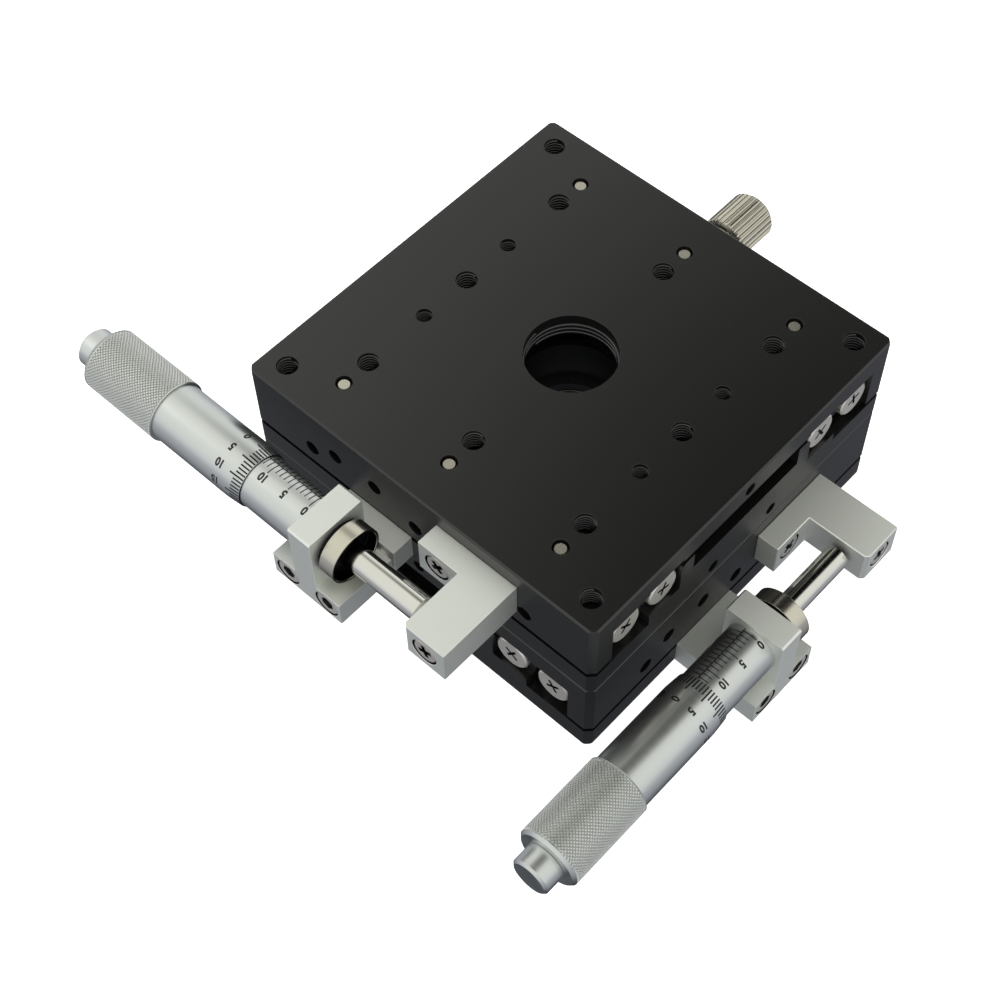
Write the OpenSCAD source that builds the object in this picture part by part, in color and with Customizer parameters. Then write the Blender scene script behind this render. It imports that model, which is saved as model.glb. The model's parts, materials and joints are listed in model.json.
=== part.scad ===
// Two-axis microscope stage: two crossed-roller slides stacked at right angles, each driven by a micrometer head.
// Origin: centre of the bottom face, +Z up. The upper slide moves along X, the lower one along Y.

/* [Plates] */
// Side of the square plates
plate_w = 80; // [74:1:90]
// Thickness of the table's top
table_t = 5; // [4:0.5:8]
// Thickness of the table's side walls
wall_t = 5; // [4:0.5:6]
// Height of the side walls under the table's top
wall_h = 9; // [9:0.5:12]
// Thickness of the base plate
base_t = 5; // [4:0.5:8]
// Gap between the side walls and the base plate
slide_gap = 1; // [0.6:0.1:2]
// Chamfer on the upright corners
corner_c = 1.2; // [0.6:0.1:2]
// Chamfer on the long edges
edge_c = 0.35; // [0.2:0.05:0.6]
// Full travel of each slide
travel = 25; // [10:1:25]

/* [Holes in the table] */
// Distance from the corner holes to the plate's sides
corner_inset = 5; // [4:0.5:7]
// Distance from the inner square of holes to the plate's sides
inner_inset = 15; // [13:0.5:16.5]
// Pitch of the small holes across the travel
narrow_pitch = 22; // [18:1:24]
// Large fixing thread, major diameter
m4_d = 4; // [3:0.5:5]
// Small fixing thread, major diameter
m3_d = 3; // [2.5:0.1:3.2]
// Central thread, major diameter
centre_d = 17; // [14:0.5:20]
// Rounding of the base tongue's upper edges
tongue_r = 1.6; // [0.8:0.1:2.4]
// Width of the well along the tongue's top
well_w = 28.4; // [26:0.2:30]
// Depth of that well
well_depth = 4.2; // [3:0.1:4.4]
// Clear bore through each base plate
bore_d = 20; // [16:0.5:21]

/* [Rails] */
// Distance from the rail's end to the plate's end
rail_inset = 2.5; // [2:0.1:4]
// Width of one rail
rail_w = 7.9; // [7.5:0.1:8.2]
// Height of one rail
rail_h = 8; // [7.5:0.1:8.5]
// Gap between the two rails of a pair
rail_gap = 1.7; // [1.4:0.1:1.9]
// Diameter of the crossed rollers
roller_d = 3; // [2.6:0.1:3.2]
// Pitch of the rollers along the cage
roller_pitch = 5; // [4.6:0.1:6]
// Pitch of the screws along the rail
rail_pitch = 25; // [22:0.5:27]
// Length of the roller cage
cage_l = 60; // [50:1:60]
// Thickness of the roller cage
cage_t = 0.8; // [0.5:0.1:0.9]
// Height of the roller cage
cage_h = 6.2; // [5.6:0.1:7]

/* [Micrometer head] */
// Distance from the slide's side to the spindle's axis
axis_out = 12; // [11:0.5:16]
// Distance from the table's top down to the spindle's axis
axis_drop = 7; // [6.5:0.1:8]
// Diameter of the spindle
spindle_d = 4.8; // [4:0.1:5.4]
// Diameter of the stem in the holder
stem_d = 8; // [7.6:0.1:8.6]
// Diameter of the graduated sleeve
sleeve_d = 10.2; // [9.8:0.1:10.4]
// Diameter of the smooth thimble
thimble_d = 11.4; // [11.2:0.1:12]
// Diameter over the grip
grip_d = 12.4; // [12:0.1:13.4]
// Length of the smooth thimble
thimble_l = 21.8; // [20:0.1:26]
// Length of the grip
grip_l = 18; // [16:0.5:22]
// Diameter of the end cap
cap_d = 7.6; // [6:0.1:9]
// Length of the end cap
cap_l = 4.3; // [3:0.1:6]
// Outer diameter of the clamp nut
nut_d = 11; // [10.6:0.1:11.6]
// Length of the clamp nut
nut_l = 4.1; // [4:0.1:6]

/* [Holder] */
// Thickness of the clamp block along the travel
block_t = 5.2; // [4.5:0.1:7]
// Width of the clamp block across the travel
block_w = 12.4; // [11.2:0.1:13]
// Distance from the spindle's axis to the top of the clamp block
block_up = 6; // [5.6:0.1:6.9]
// Length of the foot along the travel
foot_l = 16.2; // [15:0.1:20]
// Height of the foot
foot_h = 5.8; // [5:0.1:5.8]
// Thickness of the flange on the base plate
flange_t = 4.5; // [3:0.1:5]
// Length of the flange along the travel
flange_l = 15.1; // [13:0.1:18]

/* [Anvil bracket] */
// Distance from the table's top down to the bracket's top
anvil_drop = 3.4; // [3:0.1:4]
// Height of the bracket
anvil_h = 7.6; // [6.8:0.1:8.4]
// Thickness of the bracket's leg on the table
leg_t = 4.5; // [3.5:0.1:5]
// Width of the arm that the spindle pushes
arm_w = 9; // [8:0.1:9]
// Distance of the arm's outer end from the table's side
arm_out = 17.4; // [16:0.1:20]
// Place of the inner side hole along the travel
side_hole_in = 9.5; // [9:0.1:10.5]
// Place of the outer side hole along the travel
side_hole_out = 19; // [18.6:0.1:20]

/* [Lock] */
// Thickness of the slotted lock strip
strip_t = 1.5; // [1:0.1:2.5]
// Length of the strip past the slot's ends
strip_end = 6; // [5:0.5:8]
// Diameter of the fluted lock screw's head
knob_d = 9.4; // [8.5:0.1:11]
// Length of the lock screw's head
knob_l = 10.6; // [8:0.1:14]
// Number of flutes on the head
flutes = 30; // [20:1:36]

/* [Hidden] */
$fn = 64;

// Overrun of every cut, radial clearance of every thread or bore, gap at a contact between moving pieces
over = 1;
fit = 0.03;
touch_gap = 0.1;
face_gap = 0.3;

// Heights of one slide, measured from its own bottom face
half_w = plate_w / 2;
inner_pitch = plate_w - 2 * inner_inset;
under_z = base_t + slide_gap + wall_h;
unit_h = under_z + table_t;
wall_z = base_t + slide_gap;

// Rails: the pair is centred on groove_y, and its rollers run at rail_z
rail_l = plate_w - 2 * rail_inset;
rail_z0 = under_z - rail_h;
rail_z = under_z - rail_h / 2;
outer_face = half_w - wall_t;
outer_mid = outer_face - rail_w / 2;
groove_y = outer_face - rail_w - rail_gap / 2;
inner_mid = groove_y - rail_gap / 2 - rail_w / 2;
tongue_y = inner_mid - rail_w / 2;
roller_play = 0.04;
groove_half = (roller_d + roller_play) / 2 * sqrt(2);
groove_depth = groove_half - rail_gap / 2;
roller_count = floor((cage_l - roller_pitch) / roller_pitch);
tongue_gap = 1.2;
tongue_z = under_z - tongue_gap;
rail_relief = 0.6;
relief_side = 0.4;

// Screws
m3_head_d = 5;
m3_head_h = 2.6;
sink_d = 5.4;
sink_h = 3;
stop_head_d = 7;
stop_head_h = 1.9;
stop_stud_l = 4;
screw_short = 0.4;
head_below = 0.15;
screw_recess = 0.5;
point_l = 0.6;
point_d = 2.1;
screw_in = 4.5;
preload_drop = 10.2;
preload_l = 3.6;
socket_share = 0.55;
socket_depth = 1.4;
csk_d = 7.6;
csk_h = 1.9;
stack_in = 4.2;
stack_grip = 0.25;
blind_depth = 4.6;
wall_floor = 0.4;

// Places of the side holes and the end holes
side_hole_drop = anvil_drop + anvil_h / 2;
end_hole_d = 2.5;
end_hole_depth = 6;
end_hole_drop = 2.6;
end_hole_y = 8;

// Micrometer head: places along its axis
arm_face = side_hole_out - arm_w / 2;
spindle_show = 3.9;
block_front = arm_face - spindle_show - travel / 2 - nut_l;
block_x = block_front - block_t / 2;
block_back = block_front - block_t;
mark_gap = 1;
edge_x = block_back - mark_gap - travel / 2;
sleeve_end = block_back - mark_gap - travel - spindle_show;
thimble_end = edge_x - thimble_l - grip_l;
thimble_play = 0.2;
cavity_end = sleeve_end - travel / 2 - 2 * mark_gap;
axis_y = -half_w - axis_out;
axis_z = unit_h - axis_drop;
tail_d = 4;
tail_in_cap = 2;
bevel_l = 3.3;
bevel_drop = 0.3;
grip_chamfer = 0.6;
cap_chamfer = 0.5;
stem_short = 1.8;
nut_wall = 0.5;
nut_thread_l = 2;
nut_neck_l = 0.9;
nut_neck_in = 0.7;
tip_d = 3;
tip_l = 0.6;
tip_seat = 1;
spindle_chamfer = 0.4;
sleeve_bore_wall = 1.7;
guide_l = 14;

// Holder
block_in = axis_y + block_w / 2;
block_outer = axis_y - block_w / 2;
foot_gap = 1.1;
foot_lift = 0.1;
holder_screw_d = 3;
holder_head_d = 5.1;
holder_head_h = 2.2;
holder_sink_d = 5.4;
holder_sink_h = 2.4;
holder_screw_x = 4.7;
holder_screw_in = 6;
holder_screw_z = (foot_h + foot_lift) / 2;
block_round = 0.5;
gusset = 0.9;

// Anvil bracket
leg_edge = 4.1;
leg_end = side_hole_in - leg_edge;
arm_end = side_hole_out + arm_w / 2;
arm_chamfer = 0.7;

// Lock
slot_play = 0.4;
slot_d = m4_d + slot_play;
strip_l = travel + slot_d + 2 * strip_end;
strip_top = anvil_drop;
strip_screw_x = strip_l / 2 - m3_d;
strip_screw_z = base_t / 2;
strip_head_d = 4.6;
strip_head_h = 1.6;
strip_round = 1.5;
knob_chamfer = 0.9;
flute_r = 0.42;
flute_out = 0.12;
collar_d = 7;
collar_l = 0.4;
lock_stud_in = 4;

// Return spring in its channel beside the bore
spring_d = 3.2;
spring_wire = 0.5;
spring_side = 4;
spring_y = tongue_y - spring_side;
channel_w = 4.4;
channel_depth = 4.6;
spring_z = tongue_z - channel_depth / 2;
post_d = 1.6;
post_tip = 0.5;
post_inset = 10;
spring_rest = 40;
fixed_post_x = post_inset - half_w;
moving_post_x = fixed_post_x + spring_rest;

// Placing of the two slides
module upper() { translate([0, 0, unit_h]) children(); }
module lower() { rotate([0, 0, 90]) children(); }

// Cylinders along X and along -Y, from a start point
module rod_x(x0, x1, d) { translate([x0, 0, 0]) rotate([0, 90, 0]) cylinder(h = x1 - x0, d = d); }
module rod_y(y0, y1, d) { translate([0, y1, 0]) rotate([90, 0, 0]) cylinder(h = y1 - y0, d = d); }
module cone_x(x0, x1, d0, d1) { translate([x0, 0, 0]) rotate([0, 90, 0]) cylinder(h = x1 - x0, d1 = d0, d2 = d1); }
module on_axis() { translate([0, axis_y, axis_z]) children(); }

// Copies at the four corners of a rectangle
module corners(dx, dy) {
  for (sx = [-1, 1], sy = [-1, 1]) translate([sx * dx / 2, sy * dy / 2, 0]) children();
}

// Square plate with chamfered upright corners
module square_plate(h) {
  a = half_w;
  b = half_w - corner_c;
  linear_extrude(h) polygon([[a, b], [b, a], [-b, a], [-a, b], [-a, -b], [-b, -a], [b, -a], [a, -b]]);
}

// Chamfer cutters along the four sides at height z
module side_chamfers(z) {
  for (q = [0:3]) rotate([0, 0, 90 * q]) translate([0, half_w, z]) rotate([45, 0, 0])
    cube([plate_w + 2 * over, edge_c * sqrt(2), edge_c * sqrt(2)], center = true);
}

// Fixing holes shared by both tables: square, cross, narrow and central patterns
module table_holes() {
  translate([0, 0, unit_h - blind_depth]) corners(plate_w - 2 * corner_inset, plate_w - 2 * corner_inset)
    cylinder(h = blind_depth + over, d = m4_d);
  translate([0, 0, under_z - over]) {
    corners(inner_pitch, inner_pitch) cylinder(h = table_t + 2 * over, d = m4_d);
    for (q = [0:3]) rotate([0, 0, 90 * q]) translate([inner_pitch / 2, 0, 0]) cylinder(h = table_t + 2 * over, d = m4_d);
    corners(inner_pitch, narrow_pitch) cylinder(h = table_t + 2 * over, d = m3_d);
    cylinder(h = table_t + 2 * over, d = centre_d, $fn = 128);
    for (i = [-1:1], s = [-1, 1]) translate([i * rail_pitch, s * outer_mid, 0])
      cylinder(h = table_t + 2 * over, d = m3_d + 2 * fit);
  }
}

module table() {
  color([0.16, 0.16, 0.16]) difference() {
    translate([0, 0, wall_z]) square_plate(unit_h - wall_z);
    translate([-half_w - over, -outer_face, wall_z - over])
      cube([plate_w + 2 * over, 2 * outer_face, wall_h + over]);
    for (s = [-1, 1]) translate([-half_w - over, s * inner_mid - rail_w / 2 - relief_side, under_z - over])
      cube([plate_w + 2 * over, rail_w + 2 * relief_side, rail_relief + over]);
    side_chamfers(unit_h);
    table_holes();
    for (x = [-rail_pitch, 0, rail_pitch]) translate([x, 0, unit_h - preload_drop])
      rod_y(-half_w - over, -outer_face + over, m3_d + 2 * fit);
    for (x = [-1, 1], p = [side_hole_in, side_hole_out]) translate([x * p, 0, unit_h - side_hole_drop])
      rod_y(-half_w - over, -half_w + wall_t - wall_floor, m3_d);
    translate([0, 0, axis_z]) rod_y(outer_face + wall_floor, half_w + over, m4_d + 2 * fit);
    for (s = [-1, 1]) translate([0, 0, unit_h - end_hole_drop])
      rod_x(s > 0 ? half_w - end_hole_depth : -half_w - over, s > 0 ? half_w + over : end_hole_depth - half_w, end_hole_d);
    translate([moving_post_x, spring_y, under_z - over]) cylinder(h = over + table_t / 2, d = post_d + 2 * fit);
  }
}

// Base plate with its central tongue, which has a wide well along its top. The lower one is tapped at its corners, the upper one countersunk.
module base(tapped) {
  color([0.15, 0.15, 0.17]) difference() {
    union() {
      square_plate(base_t);
      translate([-half_w, -inner_mid - rail_w / 2, 0]) cube([plate_w, 2 * inner_mid + rail_w, rail_z0]);
      translate([-half_w, -tongue_y, 0]) cube([plate_w, 2 * tongue_y, tongue_z - tongue_r]);
      translate([-half_w, tongue_r - tongue_y, 0]) cube([plate_w, 2 * tongue_y - 2 * tongue_r, tongue_z]);
      for (s = [-1, 1]) translate([0, s * (tongue_y - tongue_r), tongue_z - tongue_r]) rod_x(-half_w, half_w, 2 * tongue_r);
    }
    side_chamfers(0);
    translate([-half_w - over, -well_w / 2, tongue_z - well_depth]) cube([plate_w + 2 * over, well_w, well_depth + over]);
    translate([0, 0, -over]) cylinder(h = tongue_z + 2 * over, d = bore_d, $fn = 128);
    translate([0, 0, -over]) corners(plate_w - 2 * corner_inset, plate_w - 2 * corner_inset)
      cylinder(h = base_t + 2 * over, d = tapped ? m4_d : m4_d + 2 * stack_grip);
    if (!tapped) translate([0, 0, base_t - csk_h]) corners(plate_w - 2 * corner_inset, plate_w - 2 * corner_inset)
      cylinder(h = csk_h + over, d1 = m4_d, d2 = csk_d + (csk_d - m4_d) / csk_h * over);
    for (i = [-1:1], s = [-1, 1]) translate([i * rail_pitch, s * inner_mid, rail_z0 - screw_in - screw_short])
      cylinder(h = screw_in + screw_short + over, d = m3_d + 2 * fit);
    for (s = [-1, 1]) translate([block_x + s * holder_screw_x, 0, holder_screw_z])
      rod_y(-half_w - over, -half_w + holder_screw_in + screw_short, holder_screw_d + 2 * fit);
    for (s = [-1, 1]) translate([s * strip_screw_x, 0, strip_screw_z])
      rod_y(half_w - screw_in - screw_short, half_w + over, m3_d + 2 * fit);
    for (s = [-1, 1], y = [-end_hole_y, end_hole_y]) translate([0, y, base_t / 2])
      rod_x(s > 0 ? half_w - end_hole_depth : -half_w - over, s > 0 ? half_w + over : end_hole_depth - half_w, end_hole_d);
    translate([fixed_post_x - post_d, spring_y - channel_w / 2, tongue_z - channel_depth])
      cube([moving_post_x - fixed_post_x + travel / 2 + 3 * post_d, channel_w, channel_depth + over]);
    translate([fixed_post_x, spring_y, tongue_z - channel_depth - post_d]) cylinder(h = post_d + over, d = post_d + 2 * fit);
  }
}

// Section of one rail: the V groove opens towards -Y, its face lies at y = 0
module rail_section() {
  polygon([
    [0, -rail_h / 2], [rail_w, -rail_h / 2], [rail_w, rail_h / 2], [0, rail_h / 2],
    [0, groove_depth], [groove_depth, 0], [0, -groove_depth]
  ]);
}

// One rail lying along X with its groove towards -Y. Its screw heads sink into the top, or into the bottom.
module rail(heads_up) {
  difference() {
    translate([-rail_l / 2, 0, 0]) rotate([90, 0, 90]) linear_extrude(rail_l) rail_section();
    for (i = [-1:1]) translate([i * rail_pitch, rail_w / 2, 0]) {
      cylinder(h = rail_h + 2 * over, d = m3_d + 2 * fit, center = true);
      translate([0, 0, heads_up ? rail_h / 2 - sink_h : -rail_h / 2 - over]) cylinder(h = sink_h + over, d = sink_d);
    }
    for (s = [-1, 1]) translate([0, rail_w / 2, 0])
      rod_x(s > 0 ? rail_l / 2 - stop_stud_l - screw_short : -rail_l / 2 - over,
            s > 0 ? rail_l / 2 + over : stop_stud_l + screw_short - rail_l / 2, m3_d + 2 * fit);
  }
}

module outer_rails() {
  color([0.72, 0.72, 0.73]) for (s = [0, 1]) rotate([0, 0, 180 * s])
    translate([0, groove_y + rail_gap / 2, rail_z]) rail(false);
}

module inner_rails() {
  color([0.72, 0.72, 0.73]) for (s = [0, 1]) rotate([0, 0, 180 * s])
    translate([0, groove_y - rail_gap / 2, rail_z]) mirror([0, 1, 0]) rail(true);
}

// Rollers of one side, their axes crossed in turn
module roller_row() {
  for (i = [0:roller_count - 1]) translate([(i - (roller_count - 1) / 2) * roller_pitch, 0, 0])
    rotate([i % 2 == 0 ? 45 : -45, 0, 0]) cylinder(h = roller_d - roller_play, d = roller_d - roller_play, center = true);
}

module roller_cages() {
  slot = roller_d + 2 * roller_play;
  color([0.80, 0.68, 0.40]) for (s = [-1, 1]) translate([0, s * groove_y, rail_z]) difference() {
    cube([cage_l, cage_t, cage_h], center = true);
    for (i = [0:roller_count - 1]) translate([(i - (roller_count - 1) / 2) * roller_pitch, 0, 0])
      cube([slot, cage_t + 2 * over, 2 * groove_half], center = true);
  }
}

module rollers() {
  color([0.85, 0.85, 0.86]) for (s = [-1, 1]) translate([0, s * groove_y, rail_z]) roller_row();
}

// Flat-headed screws in the rail ends that stop the cages
module stop_screws(y) {
  color([0.78, 0.78, 0.76]) for (sx = [0, 1], sy = [-1, 1]) rotate([0, 0, 180 * sx]) translate([0, sy * y, rail_z]) {
    rod_x(rail_l / 2, rail_l / 2 + stop_head_h, stop_head_d);
    rod_x(rail_l / 2 - stop_stud_l, rail_l / 2, m3_d);
  }
}

// Screws that hold the outer rails under the table, their ends show in its top
module outer_rail_screws() {
  color([0.75, 0.75, 0.75]) for (i = [-1:1], s = [-1, 1]) translate([i * rail_pitch, s * outer_mid, 0]) {
    translate([0, 0, rail_z0 + sink_h - m3_head_h]) cylinder(h = m3_head_h, d = m3_head_d);
    translate([0, 0, rail_z0 + sink_h]) cylinder(h = unit_h - screw_recess - point_l - rail_z0 - sink_h, d = m3_d);
    translate([0, 0, unit_h - screw_recess - point_l]) cylinder(h = point_l, d1 = m3_d, d2 = point_d);
  }
}

module inner_rail_screws() {
  color([0.75, 0.75, 0.75]) for (i = [-1:1], s = [-1, 1]) translate([i * rail_pitch, s * inner_mid, 0]) {
    translate([0, 0, under_z - sink_h]) cylinder(h = m3_head_h, d = m3_head_d);
    translate([0, 0, rail_z0 - screw_in]) cylinder(h = rail_h - sink_h + screw_in, d = m3_d);
  }
}

// Socket set screws that press the outer rail towards the rollers
module preload_screws() {
  color([0.3, 0.3, 0.3]) for (x = [-rail_pitch, 0, rail_pitch]) translate([x, 0, unit_h - preload_drop]) difference() {
    rod_y(-outer_face - preload_l, -outer_face, m3_d);
    translate([0, -outer_face - preload_l + socket_depth, 0]) rotate([90, 0, 0])
      cylinder(h = socket_depth + over, d = socket_share * m3_d, $fn = 6);
  }
}

// Countersunk screws from the upper base plate into the lower table
module stack_screws() {
  color([0.75, 0.75, 0.75]) corners(plate_w - 2 * corner_inset, plate_w - 2 * corner_inset) {
    translate([0, 0, unit_h + base_t - csk_h]) cylinder(h = csk_h - fit, d1 = m4_d - 2 * fit, d2 = csk_d - 4 * fit);
    translate([0, 0, unit_h - stack_in]) cylinder(h = stack_in + base_t - csk_h, d = m4_d - 2 * fit);
  }
}

// Holder: clamp block on a foot, joined to a flange on the base plate's side
module holder() {
  z0 = foot_lift;
  color([0.76, 0.77, 0.76]) difference() {
    union() {
      translate([block_x - flange_l / 2, -half_w - flange_t, z0]) cube([flange_l, flange_t, foot_h - z0]);
      translate([block_x - foot_l / 2, block_outer, z0])
        cube([foot_l, -half_w - flange_t - foot_gap - block_outer, foot_h - z0]);
      translate([block_back, block_outer, z0]) cube([block_t, -half_w - flange_t - block_outer, foot_h - z0]);
      translate([block_back, block_outer, z0]) cube([block_t, block_w, axis_z + block_up - z0]);
      translate([block_x, -half_w - flange_t, z0]) linear_extrude(foot_h - z0) polygon([
        [-block_t / 2 - gusset, over], [-block_t / 2 - gusset, 0], [-block_t / 2, -gusset],
        [block_t / 2, -gusset], [block_t / 2 + gusset, 0], [block_t / 2 + gusset, over]
      ]);
    }
    on_axis() rod_x(block_back - over, block_front + over, stem_d + 2 * fit);
    for (y = [block_in, block_outer]) translate([block_back - over, y, axis_z + block_up]) rotate([45, 0, 0])
      translate([0, -block_round / 2, -block_round / 2]) cube([block_t + 2 * over, block_round, block_round]);
    for (s = [-1, 1]) translate([block_x + s * holder_screw_x, 0, holder_screw_z]) {
      rod_y(block_outer - over, -half_w + over, holder_screw_d + 2 * fit);
      rod_y(block_outer - over, block_outer + holder_sink_h, holder_sink_d);
    }
  }
}

module holder_screws() {
  color([0.6, 0.6, 0.6]) for (s = [-1, 1]) translate([block_x + s * holder_screw_x, 0, holder_screw_z]) difference() {
    union() {
      rod_y(block_outer + holder_sink_h - holder_head_h, block_outer + holder_sink_h, holder_head_d);
      rod_y(block_outer + holder_sink_h, -half_w + holder_screw_in, holder_screw_d);
    }
    translate([0, block_outer + holder_sink_h - holder_head_h + socket_depth, 0]) rotate([90, 0, 0])
      cylinder(h = socket_depth + over, d = socket_share * holder_head_d, $fn = 6);
  }
}

// Bracket on the table that the spindle pushes
module anvil() {
  z0 = unit_h - anvil_drop - anvil_h;
  y0 = -half_w - arm_out;
  color([0.77, 0.78, 0.76]) difference() {
    translate([0, 0, z0]) linear_extrude(anvil_h) polygon([
      [leg_end, -half_w], [leg_end, -half_w - leg_t], [arm_face, -half_w - leg_t],
      [arm_face, y0 + arm_chamfer], [arm_face + arm_chamfer, y0], [arm_end, y0], [arm_end, -half_w]
    ]);
    translate([side_hole_in, 0, unit_h - side_hole_drop]) {
      rod_y(-half_w - leg_t - over, -half_w + over, m3_d + 2 * fit);
      rod_y(-half_w - leg_t - over, -half_w - leg_t + m3_head_h, sink_d);
    }
    translate([side_hole_out, 0, unit_h - side_hole_drop]) {
      rod_y(y0 - over, -half_w + over, m3_d + 2 * fit);
      rod_y(y0 - over, y0 + m3_head_h, sink_d);
    }
  }
}

// One cap screw along Y: the head's seat lies at y1, the tip at y2
module anvil_screw(y1, y2) {
  rod_y(y1 - m3_head_h + head_below, y1, m3_head_d);
  rod_y(y1, y2, m3_d - 2 * fit);
}

module anvil_screws() {
  color([0.7, 0.7, 0.7]) {
    translate([side_hole_in, 0, unit_h - side_hole_drop])
      anvil_screw(-half_w - leg_t + m3_head_h, -half_w + wall_t - 2 * wall_floor);
    translate([side_hole_out, 0, unit_h - side_hole_drop])
      anvil_screw(-half_w - arm_out + m3_head_h, -half_w + wall_t - 2 * wall_floor);
  }
}

// Graduated sleeve with the stem that the holder clamps
module sleeve() {
  color([0.80, 0.81, 0.80]) on_axis() difference() {
    union() {
      rod_x(sleeve_end, block_back, sleeve_d);
      rod_x(block_back, block_front + nut_l - stem_short, stem_d);
    }
    rod_x(sleeve_end - over, block_front + nut_l, spindle_d + 2 * fit);
    rod_x(sleeve_end - over, block_front - guide_l, sleeve_d - 2 * sleeve_bore_wall);
  }
}

// Ring nut that draws the sleeve into the holder, hollow towards the spindle
module clamp_nut() {
  color([0.80, 0.80, 0.76]) on_axis() difference() {
    union() {
      rod_x(block_front, block_front + nut_l, nut_d - 2 * nut_neck_in);
      rod_x(block_front + nut_neck_l, block_front + nut_l, nut_d);
    }
    rod_x(block_front - over, block_front + nut_l + over, stem_d + 2 * fit);
    rod_x(block_front + nut_thread_l, block_front + nut_l + over, nut_d - 2 * nut_wall);
  }
}

module spindle() {
  x1 = arm_face - touch_gap - tip_l;
  color([0.82, 0.82, 0.80]) on_axis() difference() {
    union() {
      rod_x(cavity_end, x1 - spindle_chamfer, spindle_d);
      cone_x(x1 - spindle_chamfer, x1, spindle_d, tip_d + 2 * screw_short);
      rod_x(thimble_end - tail_in_cap, cavity_end, tail_d);
    }
    rod_x(x1 - tip_seat, x1 + over, tip_d - 2 * screw_short + 2 * fit);
  }
}

// Hard tip: a peg in the spindle's end with a chamfered face
module spindle_tip() {
  x1 = arm_face - touch_gap;
  color([0.55, 0.55, 0.55]) on_axis() {
    rod_x(x1 - tip_l - tip_seat + fit, x1 - tip_l + fit, tip_d - 2 * screw_short);
    rod_x(x1 - tip_l + fit, x1 - screw_short, tip_d);
    cone_x(x1 - screw_short, x1, tip_d, tip_d - 2 * screw_short);
  }
}

// Thimble: graduated bevel, smooth barrel and grip in one piece, open over the sleeve
module thimble() {
  grip_x = edge_x - thimble_l;
  color([0.78, 0.79, 0.78]) on_axis() difference() {
    union() {
      cone_x(edge_x - bevel_l, edge_x, thimble_d, thimble_d - 2 * bevel_drop);
      rod_x(grip_x, edge_x - bevel_l, thimble_d);
      cone_x(grip_x - grip_chamfer, grip_x, grip_d, thimble_d);
      rod_x(thimble_end + grip_chamfer, grip_x - grip_chamfer, grip_d);
      cone_x(thimble_end, thimble_end + grip_chamfer, grip_d - 2 * grip_chamfer, grip_d);
    }
    rod_x(cavity_end, edge_x + over, sleeve_d + 2 * thimble_play);
    rod_x(thimble_end - over, cavity_end + over, tail_d + 2 * fit);
  }
}

module end_cap() {
  color([0.74, 0.74, 0.75]) on_axis() difference() {
    union() {
      rod_x(thimble_end - cap_l + cap_chamfer, thimble_end, cap_d);
      cone_x(thimble_end - cap_l, thimble_end - cap_l + cap_chamfer, cap_d - 2 * cap_chamfer, cap_d);
    }
    rod_x(thimble_end - tail_in_cap - screw_short, thimble_end + over, tail_d + 2 * fit);
  }
}

// Slotted strip on the base plate's side that the lock screw clamps
module lock_strip() {
  slot_z = axis_z;
  top = unit_h - strip_top;
  color([0.66, 0.67, 0.68]) difference() {
    union() {
      translate([-strip_l / 2, half_w + face_gap, edge_c]) cube([strip_l, strip_t, top - edge_c]);
      translate([-strip_l / 2, half_w, edge_c]) cube([strip_l, strip_t, base_t - edge_c]);
    }
    translate([0, 0, slot_z]) {
      for (s = [-1, 1]) translate([s * travel / 2, 0, 0]) rod_y(half_w - over, half_w + strip_t + 2 * over, slot_d);
      translate([-travel / 2, half_w - over, -slot_d / 2]) cube([travel, strip_t + 2 * over, slot_d]);
    }
    for (s = [-1, 1]) translate([s * strip_screw_x, 0, strip_screw_z])
      rod_y(half_w - over, half_w + strip_t + 2 * over, m3_d + 2 * fit);
    for (s = [-1, 1]) translate([s * strip_l / 2, half_w - over, top]) rotate([0, 45, 0])
      cube([strip_round * sqrt(2), 2 * strip_t + 4 * over, strip_round * sqrt(2)], center = true);
  }
}

module lock_strip_screws() {
  y1 = half_w + face_gap + strip_t;
  color([0.7, 0.7, 0.7]) for (s = [-1, 1]) translate([s * strip_screw_x, 0, strip_screw_z]) difference() {
    union() {
      rod_y(y1, y1 + strip_head_h, strip_head_d);
      rod_y(half_w - screw_in, y1, m3_d);
    }
    translate([0, y1 + strip_head_h + over, 0]) rotate([90, 0, 0])
      cylinder(h = strip_head_h / 2 + over, d = socket_share * strip_head_d, $fn = 6);
  }
}

// Fluted thumb screw in the table's wall. It reaches through the strip's slot.
module lock_screw() {
  y0 = half_w + face_gap + strip_t + face_gap;
  y1 = y0 + collar_l;
  y2 = y0 + knob_l;
  r = knob_d / 2;
  color([0.78, 0.76, 0.72]) translate([0, y2, axis_z]) rotate([90, 0, 0]) {
    translate([0, 0, knob_l]) cylinder(h = y0 - half_w + lock_stud_in, d = m4_d);
    translate([0, 0, y2 - y1]) cylinder(h = collar_l, d = collar_d);
    difference() {
      union() {
        cylinder(h = knob_chamfer, r1 = r - knob_chamfer, r2 = r);
        translate([0, 0, knob_chamfer]) cylinder(h = y2 - y1 - 2 * knob_chamfer, r = r);
        translate([0, 0, y2 - y1 - knob_chamfer]) cylinder(h = knob_chamfer, r1 = r, r2 = r - knob_chamfer);
      }
      for (i = [0:flutes - 1]) rotate([0, 0, 360 * i / flutes])
        translate([r + flute_out, 0, -over]) cylinder(h = y2 - y1 + 2 * over, r = flute_r);
    }
  }
}

// Return spring between its posts, as a plain tube of the coil's size
module return_spring() {
  x0 = fixed_post_x + post_d / 2 + face_gap;
  x1 = moving_post_x - post_d / 2 - face_gap;
  color([0.6, 0.6, 0.62]) translate([0, spring_y, spring_z]) difference() {
    rod_x(x0, x1, spring_d);
    rod_x(x0 - over, x1 + over, spring_d - 2 * spring_wire);
  }
}

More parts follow.
